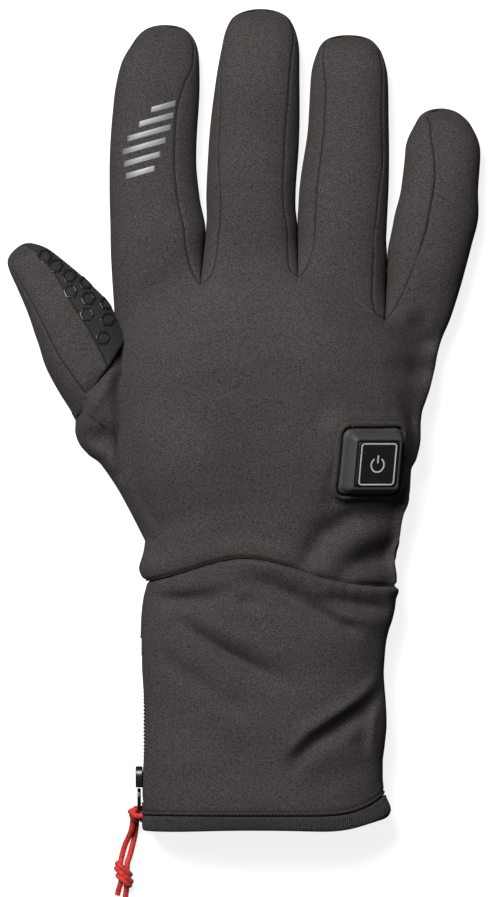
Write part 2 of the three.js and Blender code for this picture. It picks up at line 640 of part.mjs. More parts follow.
// The button, at rest and not pressed.
function controlButton() {
  return roundedBlock(BUTTON_WIDTH, BUTTON_CORNER, BUTTON_BOTTOM, BUTTON_BOTTOM + BUTTON_THICKNESS);
}

// The hand's and the thumb's shells, cut along their seams.
function handPieces() {
  const half = SEAM_GAP / 2;
  const shell = handForm(0).subtract(handForm(WALL)).intersect(beyondSeam(wristSeamY, half, 1));
  const above = slab(PALM_SEAM_HEIGHT + half, FAR);
  const window = solid(
    roundedBlock(CONTROL_WIDTH + 2 * CLEARANCE, CONTROL_CORNER + CLEARANCE, -CONTROL_DEPTH - 3 * WALL, FAR)
      .applyMatrix4(controlFrame()));
  const thumbSide = prism(thumbSideOutline(-half), -FAR, FAR);
  const strip = (from, to, shift = half) => prism(thumbStripOutline(from, to, shift), -FAR, FAR);
  const thumb = shell.intersect(thumbSide).intersect(strip(-FAR, FAR));
  const upperThumb = thumb.intersect(above);
  const base = shell.intersect(slab(-FAR, PALM_SEAM_HEIGHT - half));
  const thumbAndGap = prism(thumbSideOutline(half), -FAR, FAR).intersect(strip(-FAR, FAR, -half));
  const covered = strip(-FAR, THUMB_INNER_SEAM + half, -half).intersect(slab(PALM_SEAM_HEIGHT - half, FAR));
  const fourchettes = FOURCHETTES.map(({ name, between }) => ({
    name,
    body: shell.intersect(above).intersect(prism(fourchetteOutline(between, -half), -FAR, FAR)),
  }));
  const back = FOURCHETTES.reduce(
    (all, { between }) => all.subtract(prism(fourchetteOutline(between, half), -FAR, FAR)),
    shell.intersect(above).subtract(prism(thumbSideOutline(half), -FAR, FAR)).subtract(window));
  return [
    { name: "back_panel", body: back, material: cloth },
    { name: "palm_panel", body: base.subtract(thumbAndGap), material: gripCloth },
    ...fourchettes.map(({ name, body }) => ({ name, body, material: cloth })),
    {
      name: "thumb_side_panel",
      body: upperThumb.intersect(strip(-FAR, THUMB_OUTER_SEAM - half)),
      material: cloth,
    },
    {
      name: "thumb_back_panel",
      body: upperThumb.intersect(strip(THUMB_OUTER_SEAM + half, THUMB_INNER_SEAM - half)),
      material: cloth,
    },
    { name: "thumb_palm_panel", body: thumb.subtract(covered), material: gripCloth },
    {
      name: "thumb_gusset",
      body: shell.intersect(above).intersect(thumbSide).subtract(strip(-FAR, FAR, -half)),
      material: cloth,
    },
  ];
}

// Points of one of the cuff's cross-sections, each placed at the Y that placeY(x) gives.
function cuffRing({ left, right, top }, along, inset, placeY) {
  const half = ((right - left) * CUFF_WIDTH) / 2 - inset;
  const centre = ((right + left) * CUFF_WIDTH) / 2;
  const crown = top * CUFF_THICKNESS - inset;
  const middle = WIDEST * top * CUFF_THICKNESS;
  return sectionRing(CUFF_POINTS, half, middle, crown - middle, inset, (across, height) => {
    const x = centre + across;
    const share = foldDepth(CUFF_FOLDS, x / CUFF_WIDTH, along, CUFF_LENGTH / CUFF_WIDTH);
    const dent = share * CUFF_THICKNESS * smoothstep(height, middle, crown);
    return new THREE.Vector3(x, placeY(x), height - dent);
  });
}

// The cuff's outer form, or with inset its hollow. Both run on past the two seams, where they are cut.
function cuffForm(inset) {
  const rings = CUFF_SECTIONS.map((row) =>
    cuffRing(row, row.along, inset, (x) => lerp(wristSeamY(x), hemSeamY(x), row.along)));
  rings.unshift(rings[0].map((point) => point.clone().setY(point.y + PAST_END)));
  rings.push(rings.at(-1).map((point) => point.clone().setY(point.y - PAST_END)));
  return cappedLoft(rings);
}

// A layer of the cuff between two depths below its face, from the wrist seam to the hem seam.
function cuffLayer(outer, inner) {
  return cuffForm(outer)
    .subtract(cuffForm(inner))
    .intersect(beyondSeam(wristSeamY, SEAM_GAP / 2, -1))
    .subtract(beyondSeam(hemSeamY, 0, -1));
}

// A form round the hem from rows of { drop, inset }, with drop the distance below the hem seam.
function hemForm(rows) {
  const last = CUFF_SECTIONS.at(-1);
  return cappedLoft(rows.map(({ drop, inset }) => cuffRing(last, 1, inset, (x) => hemSeamY(x) - drop)));
}

// A rolled seam that stands a little proud of the cuff.
function hemRoll() {
  const steps = 3;
  const round = Array.from({ length: steps + 1 }, (_, i) => ({
    drop: SEAM_GAP + (HEM_ROLL * i) / steps,
    inset: -HEM_ROLL_PROUD * Math.sin((Math.PI * i) / steps),
  }));
  const rows = [{ drop: -PAST_END, inset: 0 }, ...round, { drop: PAST_END, inset: 0 }];
  const hollow = [{ drop: -PAST_END, inset: WALL }, { drop: PAST_END, inset: WALL }];
  return hemForm(rows)
    .subtract(hemForm(hollow))
    .intersect(beyondSeam(hemSeamY, SEAM_GAP, -1))
    .subtract(beyondSeam(hemSeamY, SEAM_GAP + HEM_ROLL, -1));
}

// The hem band, with its lower edge rounded over.
function hemBand() {
  const start = 2 * SEAM_GAP + HEM_ROLL;
  const edge = HEM_BAND_WALL / 2;
  const rows = [
    { drop: -PAST_END, inset: 0 },
    { drop: start + HEM_BAND_HEIGHT - edge, inset: 0 },
    { drop: start + HEM_BAND_HEIGHT, inset: edge },
  ];
  const hollow = [{ drop: -PAST_END, inset: HEM_BAND_WALL }, { drop: PAST_END, inset: HEM_BAND_WALL }];
  return hemForm(rows).subtract(hemForm(hollow)).intersect(beyondSeam(hemSeamY, start, -1));
}

const ZIP_BOTTOM = -CUFF_LENGTH + ZIP_END_MARGIN;
const ZIP_SIDE_X = CUFF_SECTIONS.at(-2).left * CUFF_WIDTH; // the cuff's face at the slider

// A box on the zip's side of the cuff, round the zip's middle line.
function zipBox(width, bottom, top) {
  return prism([[-FAR, bottom], [0, bottom], [0, top], [-FAR, top]], ZIP_HEIGHT - width / 2, ZIP_HEIGHT + width / 2);
}

const SLIDER_TOP = ZIP_BOTTOM + SLIDER_REST + SLIDER_LENGTH;

// The zip's woven tape, which closes the slot in the cuff.
function zipTape() {
  const layer = cuffLayer(ZIP_TAPE_SINK, ZIP_TAPE_SINK + ZIP_TAPE_THICKNESS);
  return layer.intersect(zipBox(ZIP_WIDTH - 2 * SEAM_GAP, ZIP_BOTTOM + SEAM_GAP, ZIP_BOTTOM + ZIP_LENGTH - SEAM_GAP));
}

// The closed chain of teeth above the slider.
function zipChain() {
  const layer = cuffLayer(-ZIP_CHAIN_PROUD, ZIP_TAPE_SINK - SEAM_GAP);
  return layer.intersect(zipBox(ZIP_CHAIN_WIDTH, SLIDER_TOP + CLEARANCE, ZIP_BOTTOM + ZIP_LENGTH - 2 * SEAM_GAP));
}

// The slider's body: a heart-like plate, broad where the teeth part, with a bridge that holds the puller.
function zipSlider() {
  const narrow = 0.32 * SLIDER_WIDTH;
  const wide = 0.5 * SLIDER_WIDTH;
  const shape = new THREE.Shape();
  shape.moveTo(0, -narrow);
  shape.lineTo(0.55 * SLIDER_LENGTH, -wide);
  shape.quadraticCurveTo(SLIDER_LENGTH, -wide, SLIDER_LENGTH, 0);
  shape.quadraticCurveTo(SLIDER_LENGTH, wide, 0.55 * SLIDER_LENGTH, wide);
  shape.lineTo(0, narrow);
  const plate = new THREE.ExtrudeGeometry(shape, { depth: SLIDER_THICKNESS, bevelEnabled: false, curveSegments: 5 });
  const place = new THREE.Matrix4().makeBasis(
    new THREE.Vector3(0, 1, 0), new THREE.Vector3(0, 0, 1), new THREE.Vector3(1, 0, 0));
  place.setPosition(
    ZIP_SIDE_X + ZIP_TAPE_SINK - CLEARANCE - SLIDER_THICKNESS, SLIDER_TOP - SLIDER_LENGTH, ZIP_HEIGHT);
  return solid(plate.applyMatrix4(place));
}

// The puller's frame: its origin is at the slider's lower end, with +X along the puller and +Z to the hand.
function pullerFrame() {
  const droop = degToRad(PULLER_DROOP);
  const frame = new THREE.Matrix4().makeBasis(
    new THREE.Vector3(0, -Math.cos(droop), -Math.sin(droop)),
    new THREE.Vector3(0, Math.sin(droop), -Math.cos(droop)),
    new THREE.Vector3(1, 0, 0));
  const x = ZIP_SIDE_X + ZIP_TAPE_SINK - CLEARANCE - SLIDER_THICKNESS / 2;
  const reach = CLEARANCE + (PULLER_WIDTH / 4) * Math.sin(droop);
  return frame.setPosition(x, SLIDER_TOP - SLIDER_LENGTH - reach, ZIP_HEIGHT);
}

const EYE_REACH = PULLER_LENGTH - PULLER_EYE_MARGIN;

// A round pin or hole through the puller's eye.
function eyePin(diameter) {
  const pin = new THREE.CylinderGeometry(diameter / 2, diameter / 2, 3 * PULLER_THICKNESS, 12);
  return solid(pin.rotateX(Math.PI / 2).translate(EYE_REACH, 0, 0).applyMatrix4(pullerFrame()));
}

// A flat tongue with round ends, grown by a clearance.
function pullerPlate(grow) {
  const half = PULLER_WIDTH / 2 + grow;
  const shape = new THREE.Shape();
  shape.moveTo(-grow, -half / 2);
  shape.lineTo(half / 2, -half);
  shape.lineTo(PULLER_LENGTH + grow - half, -half);
  shape.absarc(PULLER_LENGTH + grow - half, 0, half, -Math.PI / 2, Math.PI / 2);
  shape.lineTo(half / 2, half);
  shape.lineTo(-grow, half / 2);
  const thickness = PULLER_THICKNESS + 2 * grow;
  const plate = new THREE.ExtrudeGeometry(shape, { depth: thickness, bevelEnabled: false, curveSegments: 8 });
  return solid(plate.translate(0, 0, -thickness / 2).applyMatrix4(pullerFrame()));
}

// The metal puller with its eye.
function zipPuller() {
  return pullerPlate(0).subtract(eyePin(PULLER_EYE));
}

// Middle of the puller's eye.
function eyeCentre() {
  return new THREE.Vector3(EYE_REACH, 0, 0).applyMatrix4(pullerFrame());
}

// An egg-like solid round a middle, with its three sizes.
function egg(size, centre, grow) {
  const ball = new THREE.SphereGeometry(0.5, 12, 8);
  ball.scale(size.x + 2 * grow, size.y + 2 * grow, size.z + 2 * grow);
  return solid(ball.translate(centre.x, centre.y, centre.z));
}

// Where a strand of the cord runs, as points.
function strandPoints(name) {
  const eye = eyeCentre();
  return CORD_STRANDS[name].map(([x, y, z]) => new THREE.Vector3(eye.x + x, eye.y + y, z));
}

// Middle of the hitch, round the puller's end and the eye.
function hitchCentre() {
  const eye = eyeCentre();
  return new THREE.Vector3(eye.x - 0.17 * HITCH_SIZE.x, eye.y - 0.46 * HITCH_SIZE.y, eye.z - 0.2 * HITCH_SIZE.z);
}

// Middle of the stopper knot, which lies on the floor where the two strands end.
function knotCentre() {
  const [left, right] = Object.keys(CORD_STRANDS).map((name) => strandPoints(name).at(-1));
  return new THREE.Vector3((left.x + right.x) / 2, left.y - 0.14 * KNOT_SIZE.y, KNOT_SIZE.z / 2);
}

// A round tube along points.
function cordTube(points) {
  const radius = CORD_DIAMETER / 2;
  const corner = (i) => {
    const angle = (2 * Math.PI * (i + 0.5)) / CORD_SIDES;
    return new THREE.Vector2(radius * Math.cos(angle), radius * Math.sin(angle));
  };
  const shape = new THREE.Shape(Array.from({ length: CORD_SIDES }, (_, i) => corner(i)));
  const path = new THREE.CatmullRomCurve3(points);
  const steps = Math.max(2, Math.round(path.getLength() / CORD_DIAMETER));
  return solid(new THREE.ExtrudeGeometry(shape, { steps, extrudePath: path, bevelEnabled: false }));
}

// The hitch wraps the puller's end, and a turn of it passes through the eye.
function cordHitch() {
  const knot = egg(HITCH_SIZE, hitchCentre(), 0);
  return knot.subtract(pullerPlate(CLEARANCE)).add(eyePin(PULLER_EYE - 2 * CLEARANCE));
}

// The stopper knot with the cord's two short tails.
function cordKnot() {
  const centre = knotCentre();
  const tails = [-1, 1].map((side) => {
    const start = new THREE.Vector3(centre.x + side * 0.6 * CORD_DIAMETER, centre.y, 0.75 * CORD_DIAMETER);
    const end = start.clone();
    end.y -= KNOT_SIZE.y / 2 + CORD_TAIL * (side < 0 ? 0.4 : 1);
    end.x += side * 0.4 * CORD_DIAMETER;
    return cordTube([start, start.clone().lerp(end, 0.5), end]);
  });
  return tails.reduce((all, tail) => all.add(tail), egg(KNOT_SIZE, centre, 0));
}

// One strand between hitch and knot, cut clear of both.
function cordStrand(name) {
  return cordTube(strandPoints(name))
    .subtract(egg(HITCH_SIZE, hitchCentre(), CLEARANCE))
    .subtract(egg(KNOT_SIZE, knotCentre(), CLEARANCE));
}

const glove = new THREE.Group();
for (const { name, body, material } of handPieces()) glove.add(meshOf(name, largest(body), material));

const slot = zipBox(ZIP_WIDTH, ZIP_BOTTOM, ZIP_BOTTOM + ZIP_LENGTH);
glove.add(meshOf("cuff", cuffLayer(0, WALL).subtract(slot), cloth));
glove.add(meshOf("hem_roll", hemRoll(), bindingCloth));
glove.add(meshOf("hem_band", hemBand(), bindingCloth));
glove.add(meshOf("zip_tape", zipTape(), zipPlastic));
glove.add(meshOf("zip_chain", zipChain(), zipPlastic));
glove.add(meshOf("zip_slider", zipSlider(), zipMetal));
glove.add(meshOf("zip_puller", zipPuller(), zipMetal));

const control = new THREE.Group();
control.applyMatrix4(controlFrame());
control.add(meshOf("control_housing", controlHousing(), housingPlastic));
control.add(meshOf("control_button", solid(controlButton()), buttonPlastic));
glove.add(control);

const cords = new THREE.Group();
cords.add(meshOf("cord_hitch", cordHitch(), cordBraid));
for (const name of Object.keys(CORD_STRANDS)) cords.add(meshOf(name, cordStrand(name), cordBraid));
cords.add(meshOf("cord_knot", cordKnot(), cordBraid));

// The origin goes under the middle of the glove without its cord.
const box = new THREE.Box3().setFromObject(glove);
const whole = new THREE.Group();
whole.add(glove, cords);
whole.position.set(-(box.min.x + box.max.x) / 2, -(box.min.y + box.max.y) / 2, -box.min.z);
whole.updateMatrixWorld(true);

export default whole;
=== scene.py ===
"""Dresses the heated glove: cloth, seams, zip, heat control, prints, hem binding and pull cord.

A shape is worked out in millimetres, in the glove's own frame: x is measured from the middle of the
wrist seam towards the little finger, y from the ends of the wrist seam towards the fingertips and z from
the surface that the glove lies on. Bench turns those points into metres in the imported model's frame.
"""

from __future__ import annotations

import logging
from dataclasses import dataclass, field
from enum import Enum
from typing import Optional, Sequence

import bmesh
import bpy
import numpy as np
from mathutils import Euler, Matrix, Vector

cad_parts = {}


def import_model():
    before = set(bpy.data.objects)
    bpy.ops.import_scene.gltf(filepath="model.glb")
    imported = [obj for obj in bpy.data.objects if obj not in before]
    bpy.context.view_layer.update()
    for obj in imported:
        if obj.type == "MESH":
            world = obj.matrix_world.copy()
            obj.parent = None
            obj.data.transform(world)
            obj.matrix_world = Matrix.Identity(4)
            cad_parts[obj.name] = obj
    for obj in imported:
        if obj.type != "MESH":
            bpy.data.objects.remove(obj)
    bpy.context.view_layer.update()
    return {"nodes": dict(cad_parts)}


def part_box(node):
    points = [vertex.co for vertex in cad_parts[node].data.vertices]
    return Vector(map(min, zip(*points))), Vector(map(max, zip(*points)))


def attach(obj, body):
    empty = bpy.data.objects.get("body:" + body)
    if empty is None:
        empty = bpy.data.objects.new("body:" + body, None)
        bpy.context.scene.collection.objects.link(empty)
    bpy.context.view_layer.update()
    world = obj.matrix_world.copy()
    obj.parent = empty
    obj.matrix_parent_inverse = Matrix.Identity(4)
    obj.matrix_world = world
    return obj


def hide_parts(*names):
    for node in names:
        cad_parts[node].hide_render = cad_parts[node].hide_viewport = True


log = logging.getLogger("glove")

MM = 0.001
TINY = 1e-9

Points = np.ndarray
Values = np.ndarray
Socket = bpy.types.NodeSocket
Material = bpy.types.Material
Thing = bpy.types.Object
Knots = tuple[tuple[float, ...], ...]

CLOTH_WALL = 1.6

# Formulas shared by the forms


def ease(value: Values, start: float, end: float) -> Values:
    """Rises smoothly from 0 at start to 1 at end: 3 s^2 - 2 s^3 of the share s between them."""
    share = np.clip((np.asarray(value, float) - start) / (end - start), 0.0, 1.0)
    return share * share * (3.0 - 2.0 * share)


def mix(first: Values, second: Values, share: Values) -> Values:
    """Goes in a straight line from first to second as share goes from 0 to 1."""
    return first + (second - first) * share


def bell(distance: Values, width: float) -> Values:
    """A bell that is 1 at no distance and fades over width."""
    return np.exp(-((distance / width) ** 2))


def signed_power(value: Values, power: float) -> Values:
    """A power of the size of value, with the sign of value."""
    return np.sign(value) * np.abs(value) ** power


def crowded(count: int, crowding: float = 0.0) -> Values:
    """Shares from 0 to 1 that stand closer together near both ends.

    The share is u - c sin(2 pi u) / (2 pi), so the end steps are 1 - c of the average step.

    Args:
        count: How many shares.
        crowding: c, from 0 for even steps to just under 1.

    Returns:
        The shares, in order.
    """
    even = np.linspace(0.0, 1.0, count)
    return even - crowding * np.sin(2 * np.pi * even) / (2 * np.pi)


def through(at: Values, knots: Values, values: Values) -> Values:
    """Reads a smooth curve through knots that never swings past them.

    Each stretch is a cubic. Its slope at a knot is the harmonic mean of the two straight slopes beside
    the knot, or level where those two differ in sign.

    Args:
        at: Where the curve is read.
        knots: Places of the knots, rising.
        values: The curve's values there.

    Returns:
        The curve's values, in the shape of at.
    """
    gaps = np.diff(knots)
    straight = np.diff(values) / gaps
    same_sign = straight[:-1] * straight[1:] > 0
    total = np.where(same_sign, straight[:-1] + straight[1:], 1.0)
    inner = np.where(same_sign, 2 * straight[:-1] * straight[1:] / total, 0.0)
    slopes = np.concatenate(([straight[0]], inner, [straight[-1]]))
    inside = np.clip(at, knots[0], knots[-1])
    cell = np.clip(np.searchsorted(knots, inside, side="right") - 1, 0, len(gaps) - 1)
    gap = gaps[cell]
    share = (inside - knots[cell]) / gap
    square, cube = share**2, share**3
    return (
        (2 * cube - 3 * square + 1) * values[cell]
        + (cube - 2 * square + share) * gap * slopes[cell]
        + (3 * square - 2 * cube) * values[cell + 1]
        + (cube - square) * gap * slopes[cell + 1]
    )


UPPER_POWER = 0.85
UNDER_POWER = 0.7
ROUNDING = 0.45
WIDEST = 0.42  # widest level of a section above the floor, as a share of its thickness
UNDERSIDE = 1.3  # how far below that level the underside would reach without the floor


def upper_height(share: Values, middle: Values, crown: Values) -> Values:
    """Height of the upper half of a section: middle + (crown - middle) (1 - |share|^(2 / 0.85))^0.45."""
    inside = np.clip(1.0 - np.abs(share) ** (2 / UPPER_POWER), 0.0, 1.0)
    return middle + (crown - middle) * inside**ROUNDING


def under_height(share: Values, middle: Values, full: Values = 1.0) -> Values:
    """Height of the lower half, pressed flat by the floor.

    It is middle less 1.3 middle (1 - |share|^(2 / 0.7))^0.45, and never under 0.
    """
    inside = np.clip(1.0 - np.abs(share) ** (2 / UNDER_POWER), 0.0, 1.0)
    return np.maximum(0.0, middle - UNDERSIDE * middle * full * inside**ROUNDING)


def share_at(turn: Values, power: float) -> Values:
    """The share of the half width at a share of the half turn."""
    return signed_power(-np.cos(np.pi * turn), power)


def across_shares(count: int, power: float, first: float = 0.0, last: float = 1.0) -> Values:
    """Shares of the half width, from left to right, at even angles round a section.

    Args:
        count: How many shares.
        power: The section's power.
        first: Where the first one stands, as a share of the half turn.
        last: Where the last one stands.

    Returns:
        Shares from -1 to 1.
    """
    return share_at(np.linspace(first, last, count), power)


def turn_of(share: Values, power: float) -> Values:
    """The share of the half turn at which a section reaches a share of its half width."""
    return np.arccos(-np.clip(signed_power(share, 1 / power), -1.0, 1.0)) / np.pi


def arc_lengths(points: Points, axis: int) -> Values:
    """Distance run along one axis of a grid up to each of its points."""
    steps = np.linalg.norm(np.diff(points, axis=axis), axis=-1)
    lengths = np.cumsum(steps, axis=axis)
    start = np.zeros_like(np.take(lengths, [0], axis=axis))
    return np.concatenate((start, lengths), axis=axis)


def unit(vectors: Points) -> Points:
    """Vectors brought to length 1."""
    return vectors / np.linalg.norm(vectors, axis=-1, keepdims=True)


def read_at(at: Values, places: Values, points: Points) -> Points:
    """Points of a line at distances along it, straight between its own points."""
    return np.stack([np.interp(at, places, column) for column in points.T], axis=-1)


def closed_ends(rows: Points) -> Points:
    """Closes the first and the last column of a strip to their middles."""
    first, last = (np.broadcast_to(end.mean(axis=0), end.shape) for end in (rows[:, :1], rows[:, -1:]))
    return np.concatenate((first, rows, last), axis=1)


def face_directions(points: Points) -> Points:
    """Unit directions out of a grid: across the columns crossed with along the rows."""
    along_row = np.gradient(points, axis=1)
    along_column = np.gradient(points, axis=0)
    out = np.cross(along_row, along_column)
    return out / np.maximum(np.linalg.norm(out, axis=-1, keepdims=True), TINY)


class Edge(Enum):
    """The four edges of a grid."""

    LEFT = "first column"
    RIGHT = "last column"
    START = "first row"
    END = "last row"

    @property
    def sign(self) -> float:
        """-1 on the left and 1 on the right."""
        return -1.0 if self is Edge.LEFT else 1.0


def edge_distance(points: Points, edge: Edge) -> Values:
    """Distance over the surface from one edge of a grid."""
    axis = 1 if edge in (Edge.LEFT, Edge.RIGHT) else 0
    lengths = arc_lengths(points, axis)
    if edge in (Edge.LEFT, Edge.START):
        return lengths
    return np.take(lengths, [-1], axis=axis) - lengths


def rolled_in(points: Points, edges: Sequence[Edge], depth: float, width: float) -> Points:
    """Turns a panel's edges into its seams: each point sinks by depth exp(-(distance / width)^2).

    Args:
        points: The panel's grid.
        edges: The edges that are sewn.
        depth: How far an edge sinks.
        width: How far in from the edge it begins.

    Returns:
        The new grid.
    """
    sunk = sum(bell(edge_distance(points, edge), width) for edge in edges)
    return points - face_directions(points) * (depth * np.minimum(sunk, 1.0))[..., None]


@dataclass(frozen=True)
class Table:
    """Rows of named columns, read as smooth curves along the first column."""

    columns: tuple[str, ...]
    rows: tuple[tuple[float, ...], ...]

    def column(self, name: str) -> Values:
        """All the values of one column."""
        return np.array([row[self.columns.index(name)] for row in self.rows], float)

    def read(self, name: str, at: Values) -> Values:
        """A column's values at places along the table."""
        return through(np.asarray(at, float), self.column(self.columns[0]), self.column(name))

    def read_to_tip(self, name: str, to_tip: Values, last: float) -> Values:
        """A column read by the root of what is left to the tip, where its value is last."""
        knots = np.sqrt(1.0 - self.column("along"))[::-1]
        values = self.column(name)[::-1].copy()
        values[0] = last
        return through(to_tip, knots, values)


@dataclass(frozen=True)
class Folds:
    """Valleys and ridges pressed into a surface.

    Attributes:
        lines: Each fold as knots of x, y, width and depth. A depth less than 0 makes a ridge.
    """

    lines: tuple[Knots, ...]

    def depth(self, x: Values, y: Values) -> Values:
        """How far the surface sinks, in millimetres: the sum of all the folds."""
        total = np.zeros(np.broadcast(x, y).shape)
        for line in self.lines:
            total = total + self.one(line, x, y)
        return total

    def one(self, line: Knots, x: Values, y: Values) -> Values:
        """One fold: the strongest of depth exp(-(distance / width)^2) over its stretches.

        The distance is to the nearest point of a stretch, whose width and depth go in a straight line from
        knot to knot.
        """
        strongest = np.zeros(np.broadcast(x, y).shape)
        for start, end in zip(line[:-1], line[1:]):
            run_x, run_y = end[0] - start[0], end[1] - start[1]
            along = (x - start[0]) * run_x + (y - start[1]) * run_y
            share = np.clip(along / (run_x**2 + run_y**2), 0.0, 1.0)
            away = np.hypot(x - start[0] - share * run_x, y - start[1] - share * run_y)
            sunk = mix(start[3], end[3], share) * bell(away, mix(start[2], end[2], share))
            strongest = np.where(np.abs(sunk) > np.abs(strongest), sunk, strongest)
        return strongest


# Meshes


@dataclass
class Patch:
    """A grid of points, with rows towards the fingertips and columns to the right on an upper side.

    Attributes:
        points: Rows by columns by 3, in millimetres.
        flip: True where the grid's faces would point inwards.
        ring: True where the last column joins the first.
        tube: True where the last row joins the first.
        keep: Which faces are made, or None for all of them.
        thin: Edges at which the wall thins out.
    """

    points: Points
    flip: bool = False
    ring: bool = False
    tube: bool = False
    keep: Optional[Values] = None
    thin: Sequence[Edge] = ()

    def wall_share(self) -> Values:
        """Share of the wall's full thickness: 0.06 at a thin edge, rising smoothly to 1 at 4 mm from it."""
        share = np.ones(self.points.shape[:2])
        for edge in self.thin:
            share = np.minimum(share, 0.06 + 0.94 * ease(edge_distance(self.points, edge), 0.0, 4.0))
        return share

    def faces(self, first: int) -> Values:
        """The corner numbers of its faces, counted from first."""
        rows, columns = self.points.shape[:2]
        number = first + np.arange(rows * columns).reshape(rows, columns)
        if self.ring:
            number = np.concatenate((number, number[:, :1]), axis=1)
        if self.tube:
            number = np.concatenate((number, number[:1]), axis=0)
        corners = [number[:-1, :-1], number[:-1, 1:], number[1:, 1:], number[1:, :-1]]
        quads = np.stack(corners[::-1] if self.flip else corners, axis=-1)
        if self.keep is not None:
            return quads[self.keep]
        return quads.reshape(-1, 4)

    def plan(self) -> Values:
        """The length along its rows and up its columns at each point, in metres."""
        across = arc_lengths(self.points, 1)
        along = arc_lengths(self.points, 0)
        return np.stack((across, along), axis=-1) * MM


@dataclass
class Bench:
    """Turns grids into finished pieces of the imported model.

    Attributes:
        shift: What is added to a point of the glove's own frame, in millimetres.
    """

    shift: Points

    def to_frame(self, points: Points) -> Points:
        """Points of the glove's own frame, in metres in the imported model's frame."""
        return (np.asarray(points, float) + self.shift) * MM

    def box(self, node: str) -> Points:
        """The lowest and highest corner of a CAD node, in the glove's own frame."""
        return np.array([np.array(corner) / MM - self.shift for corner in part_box(node)])

    def mesh(self, name: str, patches: Sequence[Patch]) -> bpy.types.Mesh:
        """One mesh of several grids, welded where their edges meet."""
        points, faces, plans, walls, first = [], [], [], [], 0
        for patch in patches:
            flat = patch.points.reshape(-1, 3)
            points.append(self.to_frame(flat))
            plans.append(patch.plan().reshape(-1, 2))
            walls.append(patch.wall_share().ravel())
            faces.append(patch.faces(first))
            first += len(flat)
        corners = np.concatenate(faces)
        mesh = bpy.data.meshes.new(name)
        mesh.from_pydata(np.concatenate(points), [], corners.tolist())
        layer = mesh.uv_layers.new(name="plan")
        layer.data.foreach_set("uv", np.concatenate(plans)[corners.ravel()].ravel())
        mesh.attributes.new("wall_share", "FLOAT", "POINT").data.foreach_set("value", np.concatenate(walls))
        work = bmesh.new()
        work.from_mesh(mesh)
        bmesh.ops.remove_doubles(work, verts=work.verts, dist=0.03 * MM)
        bmesh.ops.dissolve_degenerate(work, edges=work.edges, dist=0.002 * MM)
        loose = [vert for vert in work.verts if not vert.link_faces]
        bmesh.ops.delete(work, geom=loose, context="VERTS")
        work.to_mesh(mesh)
        work.free()
        mesh.shade_smooth()
        return mesh

    def piece(
        self,
        name: str,
        patches: Sequence[Patch],
        finish: Material,
        slot: str,
        replaces: Sequence[str] = (),
        body: str = "glove",
        wall: float = 0.0,
    ) -> Thing:
        """Makes one piece and ties it to its body.

        Args:
            name: The piece's name.
            patches: Its grids.
            finish: Its material.
            slot: Not used.
            replaces: CAD nodes that it stands for.
            body: The body that it rides on.
            wall: Thickness of its cloth, laid inwards, or 0 for a closed form.

        Returns:
            The new object.
        """
        made = bpy.data.objects.new(name, self.mesh(name, patches))
        bpy.context.scene.collection.objects.link(made)
        made.data.materials.append(finish)
        if wall > 0:
            thick = made.modifiers.new("wall", "SOLIDIFY")
            thick.thickness = wall * MM
            thick.offset = -1.0
            thick.use_rim = True
            thick.vertex_group = self.wall_group(made)
        return self.tie(made, slot, replaces, body)

    def wall_group(self, made: Thing) -> str:
        """Turns the wall's shares into a vertex group, in sixteen steps, and returns its name."""
        shares = np.zeros(len(made.data.vertices))
        made.data.attributes["wall_share"].data.foreach_get("value", shares)
        group = made.vertex_groups.new(name="wall")
        steps = np.ceil(shares * 16).astype(int)
        for step in range(1, 17):
            group.add(np.flatnonzero(steps == step).tolist(), step / 16, "REPLACE")
        return group.name

    def tie(self, made: Thing, slot: str, replaces: Sequence[str] = (), body: str = "glove") -> Thing:
        """Ties a finished object to the body that it rides on and hides the CAD nodes that it stands for."""
        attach(made, body)
        if replaces:
            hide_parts(*replaces)
        log.info("%s: %d faces", made.name, len(made.data.polygons))
        return made


# Finishes


